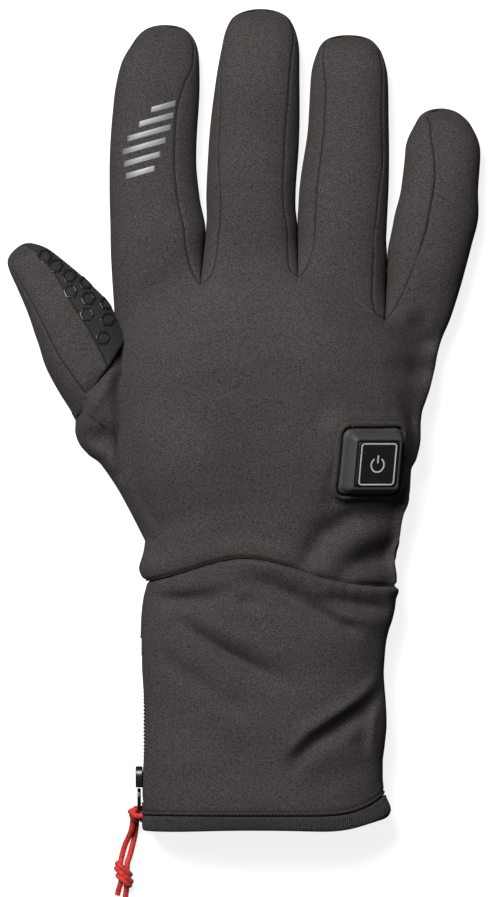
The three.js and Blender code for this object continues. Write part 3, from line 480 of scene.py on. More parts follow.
class Shader:
    """A material's node tree, with short ways to add nodes and to join them."""

    def __init__(self, name: str, color: Sequence[float], roughness: float, metallic: float = 0.0) -> None:
        """Starts a material with one Principled shader.

        Args:
            name: The material's name.
            color: Linear base colour.
            roughness: Its roughness.
            metallic: 1 for metal.
        """
        self.material = bpy.data.materials.new(name)
        self.material.use_nodes = True
        self.tree = self.material.node_tree
        self.main = self.tree.nodes["Principled BSDF"]
        self.main.inputs["Base Color"].default_value = (*color, 1.0)
        self.main.inputs["Roughness"].default_value = roughness
        self.main.inputs["Metallic"].default_value = metallic
        self.material.diffuse_color = (*color, 1.0)

    def node(self, kind: str, **values: object) -> bpy.types.Node:
        """Adds a node and sets its properties, or its inputs where a name starts with in_."""
        made = self.tree.nodes.new(kind)
        for key, value in values.items():
            if key.startswith("in_"):
                made.inputs[key[3:].replace("_", " ")].default_value = value
            else:
                setattr(made, key, value)
        return made

    def join(self, source: Socket, target: Socket) -> None:
        """Links an output to an input."""
        self.tree.links.new(source, target)

    def place(self, own_plan: bool = False) -> Socket:
        """Object coordinates in metres, or the piece's own plan."""
        return self.node("ShaderNodeTexCoord").outputs["UV" if own_plan else "Object"]

    def noise(self, place: Socket, scale: float, detail: float = 2.0) -> Socket:
        """Noise with so many waves in a metre."""
        made = self.node("ShaderNodeTexNoise", in_Scale=scale, in_Detail=detail)
        self.join(place, made.inputs["Vector"])
        return made.outputs["Fac"]

    def ramp(self, value: Socket, stops: Sequence[tuple[float, Sequence[float]]]) -> Socket:
        """A colour ramp from rows of place and linear colour."""
        made = self.node("ShaderNodeValToRGB")
        made.color_ramp.elements[0].position = stops[0][0]
        made.color_ramp.elements[0].color = (*stops[0][1], 1.0)
        made.color_ramp.elements[1].position = stops[-1][0]
        made.color_ramp.elements[1].color = (*stops[-1][1], 1.0)
        for position, color in stops[1:-1]:
            made.color_ramp.elements.new(position).color = (*color, 1.0)
        self.join(value, made.inputs["Fac"])
        return made.outputs["Color"]

    def blend(self, first: Socket, second: Socket, share: float, how: str = "MIX") -> Socket:
        """Mixes two colours by a fixed share."""
        made = self.node("ShaderNodeMix", data_type="RGBA", blend_type=how)
        made.inputs["Factor"].default_value = share
        self.join(first, made.inputs[6])
        self.join(second, made.inputs[7])
        return made.outputs[2]

    def span(self, value: Socket, low: float, high: float) -> Socket:
        """Maps 0 to 1 onto low to high."""
        made = self.node("ShaderNodeMapRange")
        made.inputs["To Min"].default_value = low
        made.inputs["To Max"].default_value = high
        self.join(value, made.inputs["Value"])
        return made.outputs["Result"]

    def bump(self, height: Socket, depth: float, strength: float = 1.0) -> None:
        """Raises the surface by a height from 0 to 1 times depth in millimetres, over earlier bumps."""
        made = self.node("ShaderNodeBump", in_Strength=strength, in_Distance=depth * MM)
        self.join(height, made.inputs["Height"])
        normal = self.main.inputs["Normal"]
        if normal.is_linked:
            self.join(normal.links[0].from_socket, made.inputs["Normal"])
        self.join(made.outputs["Normal"], normal)


@dataclass(frozen=True)
class ClothFinish:
    """Knitted softshell: a heather of light and dark yarn over a fine weave, with a soft sheen."""

    name: str
    dark: tuple[float, float, float]
    light: tuple[float, float, float]
    speckle: float = 2400.0  # yarn flecks in a metre
    weave: float = 3000.0
    sheen: float = 0.04

    def material(self) -> Material:
        """Builds the material."""
        middle = tuple((a + b) / 2 for a, b in zip(self.dark, self.light))
        shader = Shader(self.name, middle, 0.92)
        place = shader.place()
        flecks = shader.ramp(
            shader.noise(place, self.speckle, 3.0), [(0.34, self.dark), (0.5, middle), (0.68, self.light)]
        )
        wear = shader.ramp(shader.noise(place, 38.0, 4.0), [(0.3, (0.86,) * 3), (0.7, (1.06,) * 3)])
        shader.join(shader.blend(flecks, wear, 1.0, "MULTIPLY"), shader.main.inputs["Base Color"])
        shader.join(shader.span(shader.noise(place, 60.0, 2.0), 0.84, 0.98), shader.main.inputs["Roughness"])
        shader.bump(shader.noise(place, 90.0, 3.0), 0.25, 0.35)
        shader.bump(shader.noise(place, self.weave, 1.0), 0.10, 0.5)
        shader.main.inputs["Sheen Weight"].default_value = self.sheen
        shader.main.inputs["Sheen Roughness"].default_value = 0.5
        shader.main.inputs["Specular IOR Level"].default_value = 0.25
        return shader.material


@dataclass(frozen=True)
class SolidFinish:
    """Moulded plastic, silicone, metal or print: one colour with fine grain and worn gloss."""

    name: str
    color: tuple[float, float, float]
    roughness: float
    metallic: float = 0.0
    coat: float = 0.0
    grain: float = 900.0
    grain_depth: float = 0.02

    def material(self) -> Material:
        """Builds the material."""
        shader = Shader(self.name, self.color, self.roughness, self.metallic)
        place = shader.place()
        low = tuple(0.88 * channel for channel in self.color)
        high = tuple(min(1.0, 1.1 * channel) for channel in self.color)
        cloudy = shader.ramp(shader.noise(place, 120.0, 4.0), [(0.3, low), (0.7, high)])
        shader.join(cloudy, shader.main.inputs["Base Color"])
        gloss = shader.span(shader.noise(place, 250.0, 3.0), 0.85 * self.roughness, 1.15 * self.roughness)
        shader.join(gloss, shader.main.inputs["Roughness"])
        shader.bump(shader.noise(place, self.grain, 2.0), self.grain_depth, 0.6)
        shader.main.inputs["Coat Weight"].default_value = self.coat
        shader.main.inputs["Coat Roughness"].default_value = 0.2
        return shader.material


@dataclass(frozen=True)
class CordFinish:
    """Braided cord: bright strands with a darker ground between them."""

    name: str
    light: tuple[float, float, float]
    dark: tuple[float, float, float]
    strands: float = 900.0

    def material(self) -> Material:
        """Builds the material."""
        shader = Shader(self.name, self.light, 0.7)
        place = shader.place()
        yarn = shader.ramp(shader.noise(place, self.strands, 2.0), [(0.3, self.dark), (0.62, self.light)])
        shader.join(yarn, shader.main.inputs["Base Color"])
        shader.join(shader.span(shader.noise(place, 400.0), 0.6, 0.8), shader.main.inputs["Roughness"])
        shader.bump(shader.noise(place, 2.2 * self.strands, 1.0), 0.06, 0.7)
        shader.main.inputs["Sheen Weight"].default_value = 0.25
        return shader.material


@dataclass(frozen=True)
class Finishes:
    """Every material of the glove."""

    shell: Material
    grip: Material
    binding: Material
    thread: Material
    silicone: Material
    tape: Material
    metal: Material
    housing: Material
    button: Material
    print_line: Material
    reflective: Material
    cord: Material

    @classmethod
    def build(cls) -> Finishes:
        """Makes the materials."""
        return cls(
            shell=ClothFinish("softshell", (0.020, 0.0180, 0.0172), (0.086, 0.0768, 0.0738)).material(),
            grip=ClothFinish("grip_cloth", (0.014, 0.014, 0.015), (0.042, 0.042, 0.044)).material(),
            binding=ClothFinish("binding", (0.016, 0.015, 0.015), (0.062, 0.057, 0.055)).material(),
            thread=SolidFinish("thread", (0.010, 0.010, 0.010), 0.75).material(),
            silicone=SolidFinish(
                "silicone", (0.012, 0.013, 0.014), 0.3, coat=0.2, grain_depth=0.01
            ).material(),
            tape=SolidFinish("zip_plastic", (0.012, 0.012, 0.013), 0.45).material(),
            metal=SolidFinish("zip_metal", (0.13, 0.135, 0.13), 0.34, metallic=1.0).material(),
            housing=SolidFinish("housing_rubber", (0.050, 0.051, 0.052), 0.62, grain=2500.0).material(),
            button=SolidFinish("button_black", (0.009, 0.010, 0.010), 0.5, grain_depth=0.005).material(),
            print_line=SolidFinish("button_print", (0.62, 0.62, 0.60), 0.5, grain_depth=0.005).material(),
            reflective=SolidFinish("reflective_print", (0.22, 0.23, 0.23), 0.45, metallic=0.3).material(),
            cord=CordFinish("red_braid", (0.80, 0.034, 0.022), (0.36, 0.008, 0.009)).material(),
        )


@dataclass
class Maker:
    """Makes some of the glove's pieces on the bench."""

    bench: Bench
    finishes: Finishes

    def panel(
        self, name: str, patches: Sequence[Patch], node: str, grip: bool = False, wall: float = CLOTH_WALL
    ) -> None:
        """Makes a sewn panel, of gripping cloth or of softshell, in place of one CAD node."""
        finish, slot = (self.finishes.grip, "grip_cloth") if grip else (self.finishes.shell, "softshell")
        self.bench.piece(name, patches, finish, slot, [node], wall=wall)


# The hand's form


@dataclass(frozen=True)
class Palm:
    """The palm, from the wrist seam to the line through the crotches between the fingers."""

    length: float = 105.5
    width: float = 113.0
    thickness: float = 37.0
    knuckle_drop: float = 27.9
    knuckle_peak: float = -2.8
    crotch_rise: float = 4.0
    arch_height: float = 10.2
    arch_x: float = -8.6
    arch_spread: float = 27.0
    sections: Table = Table(
        ("along", "left", "right", "top"),
        (
            (0.0, -0.389, 0.395, 0.87), (0.06, -0.4, 0.389, 0.87), (0.13, -0.389, 0.389, 0.89),
            (0.19, -0.384, 0.403, 0.91), (0.26, -0.409, 0.41, 0.94), (0.41, -0.456, 0.435, 0.98),
            (0.5, -0.465, 0.4385, 0.99), (0.56, -0.468, 0.4545, 1.0), (0.67, -0.472, 0.467, 0.99),
            (0.72, -0.473, 0.467, 0.98), (0.78, -0.473, 0.4705, 0.94), (0.85, -0.474, 0.4825, 0.89),
            (0.92, -0.474, 0.4945, 0.82), (1.0, -0.474, 0.505, 0.73), (1.08, -0.472, 0.514, 0.62),
            (1.16, -0.46, 0.518, 0.57), (1.24, -0.43, 0.5, 0.54),
        ),
    )
    # x, y, width and depth of each fold's knots
    folds: Folds = Folds(
        (
            ((47, 30, 5.0, 4.0), (30, 25.5, 5.4, 5.2), (19, 18, 4.8, 4.2), (13, 9.3, 4.0, 2.8),
             (8, 3, 4, 0)),
            ((48, 14, 4.2, 3.4), (42, 12.4, 4.4, 4.6), (33.4, 9.2, 4.2, 4.6), (26.4, 5.6, 3.6, 2.2),
             (22, 3, 3, 0)),
            ((20, 46, 3.0, 0.0), (20, 38, 3.0, 0.8), (21, 30, 3.4, 1.8), (24, 26, 4, 0)),
            ((40, 4.5, 3.0, -0.6), (31, 5.5, 3.0, -0.8), (26, 8, 3, 0)),
            ((58, 100, 9, 2.4), (55, 80, 9, 3.0), (51, 60, 8, 2.4), (48, 38, 10, 3.6),
             (46, 22, 13, 5.4), (45, 2, 13, 5.4)),
            ((-48.6, 46, 4.5, 1.2), (-45, 30, 4.5, 1.9), (-40.7, 12.7, 4.5, 1.5), (-39, 6, 4, 0)),
            ((-47, 76, 7, 0.7), (-30, 60, 7, 0.7)),
            ((-20, 92, 6, -0.5), (2, 86, 6, -0.5)),
            ((12, 92, 6, -0.5), (30, 80, 6, -0.5)),
            ((-30, 30, 9, 0.5), (10, 20, 9, 0.5)),
            ((42, 92, 3.0, 0.0), (49, 89, 3.2, 2.4), (54.5, 85, 3.4, 4.6), (58, 84, 3.2, 2.4),
             (60.5, 84, 3.0, 0.3)),
            ((50, 97, 3.0, 0.0), (53, 92, 3.0, 2.4), (56, 88, 3.0, 0.8)),
            ((47, 84, 2.4, 0.0), (53, 81.5, 2.4, -1.2), (58, 80, 2.4, -1.0)),
            ((40, 79, 3.4, 0.0), (46, 77, 3.6, 1.8), (55, 73.5, 4.0, 3.6), (60, 72, 4.0, 3.8)),
            ((46, 71, 2.6, 0.0), (53, 70.5, 2.6, -0.9), (58, 69, 2.6, 0)),
            ((22, 57.5, 3.0, 0.0), (28, 58.5, 3.0, 1.6), (38, 58, 3.2, 2.4), (47, 57, 3.4, 2.8)),
        )
    )

    def knuckle(self, x: Values) -> Values:
        """Knuckle line: the length less a square law away from its highest point."""
        return self.length - self.knuckle_drop * ((x - self.knuckle_peak) / (self.width / 2)) ** 2

    def crotch(self, x: Values) -> Values:
        """The line through the crotches between the fingers, a little past the knuckles."""
        return self.knuckle(x) + self.crotch_rise

    def wrist(self, x: Values) -> Values:
        """The wrist seam: a bell that arches over the back of the hand."""
        return self.arch_height * bell(x - self.arch_x, self.arch_spread)

    def span(self, along: Values) -> tuple[Values, Values]:
        """Middle and half width at a share of the palm's length."""
        left = self.sections.read("left", along) * self.width
        right = self.sections.read("right", along) * self.width
        return (left + right) / 2, (right - left) / 2

    def levels(self, along: Values) -> tuple[Values, Values]:
        """Widest level and crown at a share of the palm's length."""
        crown = self.sections.read("top", along) * self.thickness
        return WIDEST * crown, crown

    def crossing(self, x: Values, y: Values) -> tuple[Values, Values]:
        """Shares of the half width and of the length at a point of the plan."""
        along = (y - self.wrist(x)) / (self.knuckle(x) - self.wrist(x))
        middle_x, half = self.span(along)
        return (x - middle_x) / half, along

    def height(self, across: Values, along: Values, under: bool) -> Values:
        """Height of the palm's upper side or underside at shares of its half width and length."""
        middle, crown = self.levels(along)
        return under_height(across, middle) if under else upper_height(across, middle, crown)


@dataclass(frozen=True)
class Gap:
    """Where two fingers part: they touch from their crotch to the end of the crease between them."""

    crotch_x: float
    crotch_y: float
    end_x: float
    end_y: float

    def middle(self, y: Values) -> Values:
        """Middle line of the crease, a straight line from the crotch to its end."""
        return mix(self.crotch_x, self.end_x, (y - self.crotch_y) / (self.end_y - self.crotch_y))

    def touch(self, y: Values) -> Values:
        """1 where the fingers touch and 0 where they have parted."""
        return 1.0 - ease(y, self.end_y - 5.0, self.end_y + 2.0)


@dataclass(frozen=True)
class Seam:
    """A seam up a finger's back.

    Attributes:
        run_in: How soon past the crotch it has left the finger's edge.
        knots: Rows of the place along the glove and the share of the half width.
    """

    run_in: float
    knots: Knots

    def share(self, y: Values) -> Values:
        """The share of the half width at places along the glove."""
        return Table(SEAM_COLUMNS, self.knots).read("share", y)


FINGER_MIDDLE = 8.4  # widest level of a finger above the floor
TIP_ROUND = 0.27  # how far from the tip its section is rounded off, as a root of the share of its length


def widest_level(thickness: float, deep: Values) -> Values:
    """Level at which a section is widest: 0.4 of the usual one and 0.6 of it by its depth, up to all of it."""
    return WIDEST * thickness * np.minimum(1.0, 0.4 + 0.6 * deep)


def rounded_crown(middle: Values, deep: Values, to_tip: Values) -> tuple[Values, Values]:
    """Crown of a section near a tip, and how full it is: 1 - (1 - to_tip / 0.27)^2, or 1 further away."""
    full = 1.0 - (1.0 - np.minimum(to_tip / TIP_ROUND, 1.0)) ** 2
    return middle + np.maximum(deep - middle, 0.0) * full, full


SECTION_COLUMNS = ("along", "centre", "wide", "deep")
SEAM_COLUMNS = ("y", "share")


def section_table(*rows: tuple[float, float, float, float]) -> Table:
    """A table of sections, each with its place along, its middle, its width and its depth."""
    return Table(SECTION_COLUMNS, rows)


@dataclass(frozen=True)
class Finger:
    """One finger: its middle line, widths, heights and the two seams on its back."""

    name: str
    root_x: float
    length: float
    width: float
    thickness: float
    sections: Table  # along, centre, wide, deep
    seams: dict[Edge, Seam]
    gaps: dict[Edge, Gap]
    palm: Palm = Palm()

    @property
    def root_y(self) -> float:
        """Where the finger's middle line meets the knuckle line."""
        return float(self.palm.knuckle(self.root_x))

    def to_tip(self, y: Values) -> Values:
        """Root of the share of the length that is left to the tip."""
        return np.sqrt(np.clip(1.0 - (y - self.root_y) / self.length, 0.0, None))

    def read(self, name: str, y: Values, last: float) -> Values:
        """A column of the sections at places along the glove, with its value at the tip."""
        return self.sections.read_to_tip(name, self.to_tip(y), last)

    def centre(self, y: Values) -> Values:
        """Middle line of the finger."""
        last = float(self.sections.column("centre")[-1])
        return self.root_x + self.width * self.read("centre", y, last)

    def edge(self, side: Edge, y: Values) -> Values:
        """The finger's edge in plan, or the middle of the crease where it touches its neighbour."""
        sign = side.sign
        free = self.centre(y) + sign * self.width / 2 * self.read("wide", y, 0.0)
        gap = self.gaps.get(side)
        if gap is None:
            return free
        crease = gap.middle(y)
        limit = np.minimum(sign * free, sign * crease) * sign
        held = mix(free, limit, ease(gap.end_y + 14.0 - y, 0.0, 12.0))
        return mix(held, crease, gap.touch(y))

    def levels(self, y: Values) -> tuple[Values, Values, Values]:
        """Widest level, crown and how full the section is, which falls to 0 at the tip."""
        deep = self.read("deep", y, 0.27)
        middle = FINGER_MIDDLE * np.minimum(1.0, 0.42 + 0.6 * deep)
        crown, full = rounded_crown(middle, deep * self.thickness, self.to_tip(y))
        return middle, crown, full

    def place(self, share: Values, y: Values) -> Values:
        """Where a share of the half width lies across the glove."""
        centre = self.centre(y)
        left = centre - self.edge(Edge.LEFT, y)
        right = self.edge(Edge.RIGHT, y) - centre
        return centre + share * np.where(share < 0, left, right)

    def height(self, share: Values, y: Values, under: bool) -> Values:
        """Height of the finger's upper side or underside."""
        middle, crown, full = self.levels(y)
        return under_height(share, middle, full) if under else upper_height(share, middle, crown)

    def seam(self, side: Edge, y: Values, past_crotch: Values) -> Values:
        """Share of the half width at which a seam runs. It runs out to the edge at the crotch."""
        sign = side.sign
        if side not in self.seams:
            return np.full(np.shape(y), sign)
        seam = self.seams[side]
        share = seam.share(y)
        return sign - (sign - share) * (1.0 - np.exp(-np.maximum(past_crotch, 0.0) / seam.run_in))


INDEX_MIDDLE = Gap(-24.3, 105.2, -22.5, 123.0)
MIDDLE_RING = Gap(9.9, 108.0, 9.8, 131.5)
RING_LITTLE = Gap(40.5, 94.3, 41.6, 120.0)


def seam_line(run_in: float, *knots: tuple[float, float]) -> Seam:
    """A seam on a finger from its knots, each a place along the glove and a share."""
    return Seam(run_in, knots)


FINGERS = (
    Finger(
        "index", -39.66, 103.6, 30.8, 20.0,
        section_table(
            (-0.1, 0.02, 0.95, 0.95), (0.29, 0.02, 1.09, 1.05), (0.41, -0.02, 1.03, 1.03),
            (0.53, -0.04, 0.99, 1.0), (0.74, 0.0, 0.975, 0.96), (0.86, 0.04, 0.9, 0.87),
            (0.94, 0.09, 0.71, 0.72), (0.985, 0.1, 0.44, 0.5), (1.0, 0.1, 0.0, 0.27),
        ),
        {
            Edge.RIGHT: seam_line(
                9.5,
                (100.0, 0.5), (118.0, 0.5), (165.0, 0.5), (176.0, 0.64), (182.0, 0.83),
                (197.0, 0.96),
            )
        },
        {Edge.RIGHT: INDEX_MIDDLE},
    ),
    Finger(
        "middle", -7.12, 97.5, 30.8, 20.5,
        section_table(
            (-0.1, 0.0, 0.95, 0.95), (0.06, 0.01, 1.06, 1.06), (0.32, 0.02, 1.02, 1.04),
            (0.49, 0.05, 1.03, 1.0), (0.75, 0.1, 0.95, 0.95), (0.88, 0.13, 0.86, 0.86),
            (0.96, 0.13, 0.67, 0.68), (0.985, 0.13, 0.46, 0.5), (1.0, 0.13, 0.0, 0.27),
        ),
        {
            Edge.LEFT: seam_line(
                2.6,
                (108.0, -0.74), (122.0, -0.73), (136.0, -0.69), (150.0, -0.78), (164.0, -0.81),
                (184.0, -0.94), (202.8, -0.98),
            ),
            Edge.RIGHT: seam_line(
                1.8,
                (108.0, 0.81), (122.0, 0.8), (132.0, 0.75), (143.0, 0.71), (157.0, 0.69),
                (166.0, 0.72), (175.0, 0.755), (187.0, 0.82), (195.0, 0.94), (202.8, 0.98),
            ),
        },
        {Edge.LEFT: INDEX_MIDDLE, Edge.RIGHT: MIDDLE_RING},
    ),
    Finger(
        "ring", 24.52, 94.7, 29.4, 20.0,
        section_table(
            (-0.1, 0.0, 0.95, 0.95), (0.05, 0.01, 1.05, 1.06), (0.39, 0.05, 1.07, 1.03),
            (0.66, 0.11, 0.965, 0.98), (0.84, 0.12, 0.92, 0.91), (0.93, 0.12, 0.78, 0.77),
            (0.97, 0.11, 0.62, 0.62), (0.99, 0.11, 0.42, 0.45), (1.0, 0.11, 0.0, 0.27),
        ),
        {
            Edge.LEFT: seam_line(
                4.5,
                (108.0, -0.66), (120.0, -0.62), (174.0, -0.62), (186.0, -0.8), (193.7, -0.97),
            ),
            Edge.RIGHT: seam_line(
                2.2,
                (100.0, 0.7), (119.0, 0.7), (129.0, 0.75), (140.0, 0.79), (150.0, 0.856),
                (166.0, 0.83), (184.0, 0.9), (193.7, 0.98),
            ),
        },
        {Edge.LEFT: MIDDLE_RING, Edge.RIGHT: RING_LITTLE},
    ),
    Finger(
        "little", 49.95, 86.7, 28.0, 19.5,
        section_table(
            (-0.1, -0.05, 0.64, 0.95), (0.0, -0.01, 0.665, 0.99), (0.05, 0.018, 0.69, 1.02),
            (0.15, 0.07, 0.84, 1.05), (0.3, 0.15, 0.97, 1.04), (0.44, 0.23, 1.04, 1.02),
            (0.54, 0.3, 1.06, 1.0), (0.67, 0.35, 0.97, 0.97), (0.83, 0.39, 0.94, 0.89),
            (0.93, 0.39, 0.71, 0.73), (0.976, 0.37, 0.48, 0.52), (1.0, 0.37, 0.0, 0.27),
        ),
        {
            Edge.LEFT: seam_line(
                10.0,
                (98.0, -0.3), (108.0, -0.26), (114.0, -0.2), (119.0, -0.18), (131.0, -0.18),
                (142.0, -0.16), (148.0, -0.21), (154.0, -0.29), (162.0, -0.48), (167.8, -0.85),
            )
        },
        {Edge.LEFT: RING_LITTLE},
    ),
)


@dataclass(frozen=True)
class Columns:
    """The columns that run up the palm into the fingers.

    Attributes:
        finger: The number of each column's finger.
        share: Its place across that finger, as a share of the half width.
        start: Its place across the wrist, as a share of the half width.
        under: True for the underside.
    """

    finger: Values
    share: Values
    start: Values
    under: bool


@dataclass
class Hand:
    """The surfaces of palm and fingers as one comb of grids, and the control's seat in them."""

    palm: Palm = field(default_factory=Palm)
    fingers: tuple[Finger, ...] = FINGERS
    upper_count: int = 33  # columns over one finger
    under_count: int = 15
    side_count: int = 5  # columns from a section's widest level down to the palm's seam
    palm_rows: int = 110
    finger_rows: int = 105
    seam_height: float = 7.5
    merge_before: float = 5.0  # the fingers grow out of the palm from here before the crotch line
    merge_after: float = 15.0
    groove: float = 0.45  # depth and width of a seam's groove
    groove_width: float = 0.5
    crease: float = 3.6  # depth and width of the crease between touching fingers
    crease_width: float = 0.9

    def finger_share(self, past: Values) -> Values:
        """How much of the surface is the finger's, by the distance past the crotch line."""
        return ease(past, -self.merge_before, self.merge_after)

    def seam_share(self, middle: float) -> float:
        """Share of the half width at which an underside reaches the height of the palm's seam."""
        rise = ((middle - self.seam_height) / (UNDERSIDE * middle)) ** (1 / ROUNDING)
        return float((1.0 - rise) ** (UNDER_POWER / 2))

    def finger_turn(self) -> float:
        """How far round a finger's underside the palm's seam runs."""
        return turn_of(self.seam_share(FINGER_MIDDLE), UNDER_POWER)

    def wrist_turn(self) -> float:
        """How far round the underside of the wrist the palm's seam runs."""
        return turn_of(self.seam_share(float(self.palm.levels(0.3)[0])), UNDER_POWER)

    def base_points(self, number: int, share: Values) -> tuple[Values, Values]:
        """Where columns of a finger cross the crotch line, by a few rounds of substitution."""
        finger = self.fingers[number]
        y = np.full(np.shape(share), finger.root_y)
        for _ in range(8):
            x = finger.place(share, y)
            y = self.palm.crotch(x)
        return x, y

    def surface(self, number: int, share: Values, x: Values, y: Values, under: bool) -> Points:
        """Points of the blended surface of one finger's columns.

        The height goes from the palm's to the finger's with the distance past the crotch line.
        """
        across, along = self.palm.crossing(x, np.minimum(y, self.palm.crotch(x) + self.merge_after))
        return self.blended(number, share, x, y, across / self.reach(across, y), along, under)

    def blended(
        self, number: int, share: Values, x: Values, y: Values, across: Values, along: Values, under: bool
    ) -> Points:
        """Points whose height goes from the palm's to the finger's past the crotch line.

        Args:
            number: The finger.
            share: Share of the finger's half width.
            x: Place across the glove.
            y: Place along the glove.
            across: Share of the palm's half width.
            along: Share of the palm's length.
            under: True for the underside.

        Returns:
            The points.
        """
        weight = self.finger_share(y - self.palm.crotch(x))
        own = self.fingers[number].height(share, y, under)
        palm = self.palm.height(across, along, under)
        height = mix(palm, own, weight)
        if not under:
            middle = mix(self.palm.levels(along)[0], self.fingers[number].levels(y)[0], weight)
            height = height - self.palm.folds.depth(x, y) * ease(height - middle, 1.0, 10.0)
        return np.stack(np.broadcast_arrays(x, y, height), axis=-1)

    def reach(self, across: Values, y: Values) -> Values:
        """Share of the palm's half width at which the outer fingers' edges stand, on the same side."""
        left, _ = self.palm.crossing(self.fingers[0].edge(Edge.LEFT, y), y)
        right, _ = self.palm.crossing(self.fingers[-1].edge(Edge.RIGHT, y), y)
        return np.where(across < 0, -left, right)

    def palm_grid(self, columns: Columns, rows: int) -> Points:
        """The palm's grid, from the wrist seam to the crotch line.

        A column's place across the palm goes from its start at the wrist to its place in its finger.
        """
        along = crowded(rows, 0.6)[:, None]
        grid = np.zeros((rows, len(columns.share), 3))
        for number in range(len(self.fingers)):
            mine = columns.finger == number
            share = columns.share[mine]
            base_x, base_y = self.base_points(number, share)
            end, _ = self.palm.crossing(base_x, base_y)
            bend = ease(along, 0.0, 1.0)
            across = mix(columns.start[mine], end, bend)
            x = np.broadcast_to(base_x, across.shape)
            for _ in range(6):
                y = mix(self.palm.wrist(x), self.palm.crotch(x), along)
                _, palm_along = self.palm.crossing(x, y)
                middle, half = self.palm.span(palm_along)
                x = middle + across * half
            outer = 1.0 + (self.reach(end, base_y) - 1.0) * bend
            grid[:, mine] = self.blended(number, share, x, y, across / outer, palm_along, columns.under)
        return grid

    def finger_heights(self, number: int, rows: int, share: Values) -> tuple[Values, Values]:
        """Rows of a finger's grids: their place along the glove and how far they are past the crotch.

        The rows start on the crotch line and become level, and close up towards the tip: the share of
        the length that is left is the square of an even share.
        """
        finger = self.fingers[number]
        base_x, base_y = self.base_points(number, share)
        start = float(self.palm.crotch(finger.centre(finger.root_y)))
        even = np.linspace(0.0, 1.0, rows)[:, None]
        left = (finger.to_tip(start) * (1.0 - even)) ** 2
        level = finger.root_y + finger.length * (1.0 - left)
        y = level + (base_y - start) * (1.0 - ease(even, 0.0, 0.45))
        return y, level - start

    def strip(self, number: int, first: Edge, last: Optional[Edge], count: int) -> Points:
        """A strip up a finger's upper side, between two of its edge and seam lines.

        Args:
            number: The finger.
            first: LEFT or RIGHT for the seam that the strip starts at.
            last: The other seam, or None for the finger's edge on the first one's side.
            count: How many columns.

        Returns:
            The strip's grid, with its columns to the right.
        """
        finger = self.fingers[number]
        base = across_shares(count, UPPER_POWER) if last else np.full(count, first.sign)
        y, past = self.finger_heights(number, self.finger_rows, base)
        seam_y = y.mean(axis=1, keepdims=True)
        from_turn = turn_of(finger.seam(first, seam_y, past), UPPER_POWER)
        if last:
            to_turn = turn_of(finger.seam(last, seam_y, past), UPPER_POWER)
            spacing = crowded(count, 0.55 if finger.seams else 0.0)
            spacing = mix(np.linspace(0.0, 1.0, count), spacing, ease(past, 0.0, 12.0))
        else:
            to_turn = np.zeros_like(from_turn) if first is Edge.LEFT else np.ones_like(from_turn)
            spacing = crowded(count, 0.5)
        if first is Edge.LEFT and last is None:
            from_turn, to_turn = to_turn, from_turn
        turn = mix(from_turn, to_turn, spacing)
        share = share_at(turn, UPPER_POWER)
        return self.surface(number, share, finger.place(share, y), y, False)

    def sewn(self, grid: Points, edges: Sequence[Edge]) -> Points:
        """Sinks a finger strip's sewn edges, straight down at the crotch and inwards further up."""
        if not edges:
            return grid
        sunk = np.minimum(sum(bell(edge_distance(grid, edge), self.groove_width) for edge in edges), 1.0)
        past = grid[..., 1] - self.palm.crotch(grid[..., 0])
        away = mix(np.array([0.0, 0.0, 1.0]), face_directions(grid), ease(past, 0.0, 5.0)[..., None])
        away /= np.maximum(np.linalg.norm(away, axis=-1, keepdims=True), TINY)
        return grid - away * (self.groove * sunk)[..., None]

    def creased(self, grid: Points, number: int, side: Edge) -> Points:
        """Sinks a fourchette's edge along the crease between two touching fingers."""
        away = edge_distance(grid, side)
        past = grid[..., 1] - self.palm.crotch(grid[..., 0])
        further = ease(past, 3.0, 14.0)
        width = mix(self.crease_width, 2.6 * self.crease_width, further)
        depth = self.crease * mix(1.0, 1.5, further) * bell(away, width) * ease(past, -0.5, 5.0)
        gap = self.fingers[number].gaps[side]
        depth = depth * (1.0 - ease(grid[..., 1], gap.end_y - 2.0, gap.end_y + 10.0))
        lowered = grid.copy()
        lowered[..., 2] = np.maximum(grid[..., 2] - depth, FINGER_MIDDLE)
        return lowered

    def columns(self, count: int, first: float, low: float, under: bool) -> Columns:
        """The columns over or under the hand. Two fingers share the one at their crotch.

        Args:
            count: Columns of one finger.
            first: Where a finger's first one stands, as a share of its half turn.
            low: Where the wrist's first one stands.
            under: True for the underside.

        Returns:
            The columns, from the thumb's side to the little finger's.
        """
        power = UNDER_POWER if under else UPPER_POWER
        one = across_shares(count, power, first, 1.0 - first)
        shares = [one[min(number, 1) :] for number in range(len(self.fingers))]
        numbers = [np.full(len(share), number) for number, share in enumerate(shares)]
        start = across_shares(sum(map(len, shares)), power, low, 1.0 - low)
        return Columns(np.concatenate(numbers), np.concatenate(shares), start, under)

    def upper_columns(self) -> Columns:
        """The columns over the back of the hand."""
        return self.columns(self.upper_count, 0.0, 0.0, False)

    def side_columns(self, side: Edge) -> Columns:
        """The columns from the widest level of one side down to the palm's seam."""
        sign = side.sign
        number = 0 if side is Edge.LEFT else len(self.fingers) - 1
        low = self.wrist_turn()
        start = across_shares(self.side_count, UNDER_POWER, 1.0, low)
        tip_low = self.finger_turn()
        share = across_shares(self.side_count, UNDER_POWER, 1.0, tip_low)
        order = slice(None, None, -1) if side is Edge.LEFT else slice(None)
        return Columns(np.full(self.side_count, number), sign * share[order], sign * start[order], True)

    def under_columns(self) -> Columns:
        """The columns of the palm's underside, between its two seams."""
        first = 1.0 - self.finger_turn()
        low = 1.0 - self.wrist_turn()
        return self.columns(self.under_count, first, low, True)

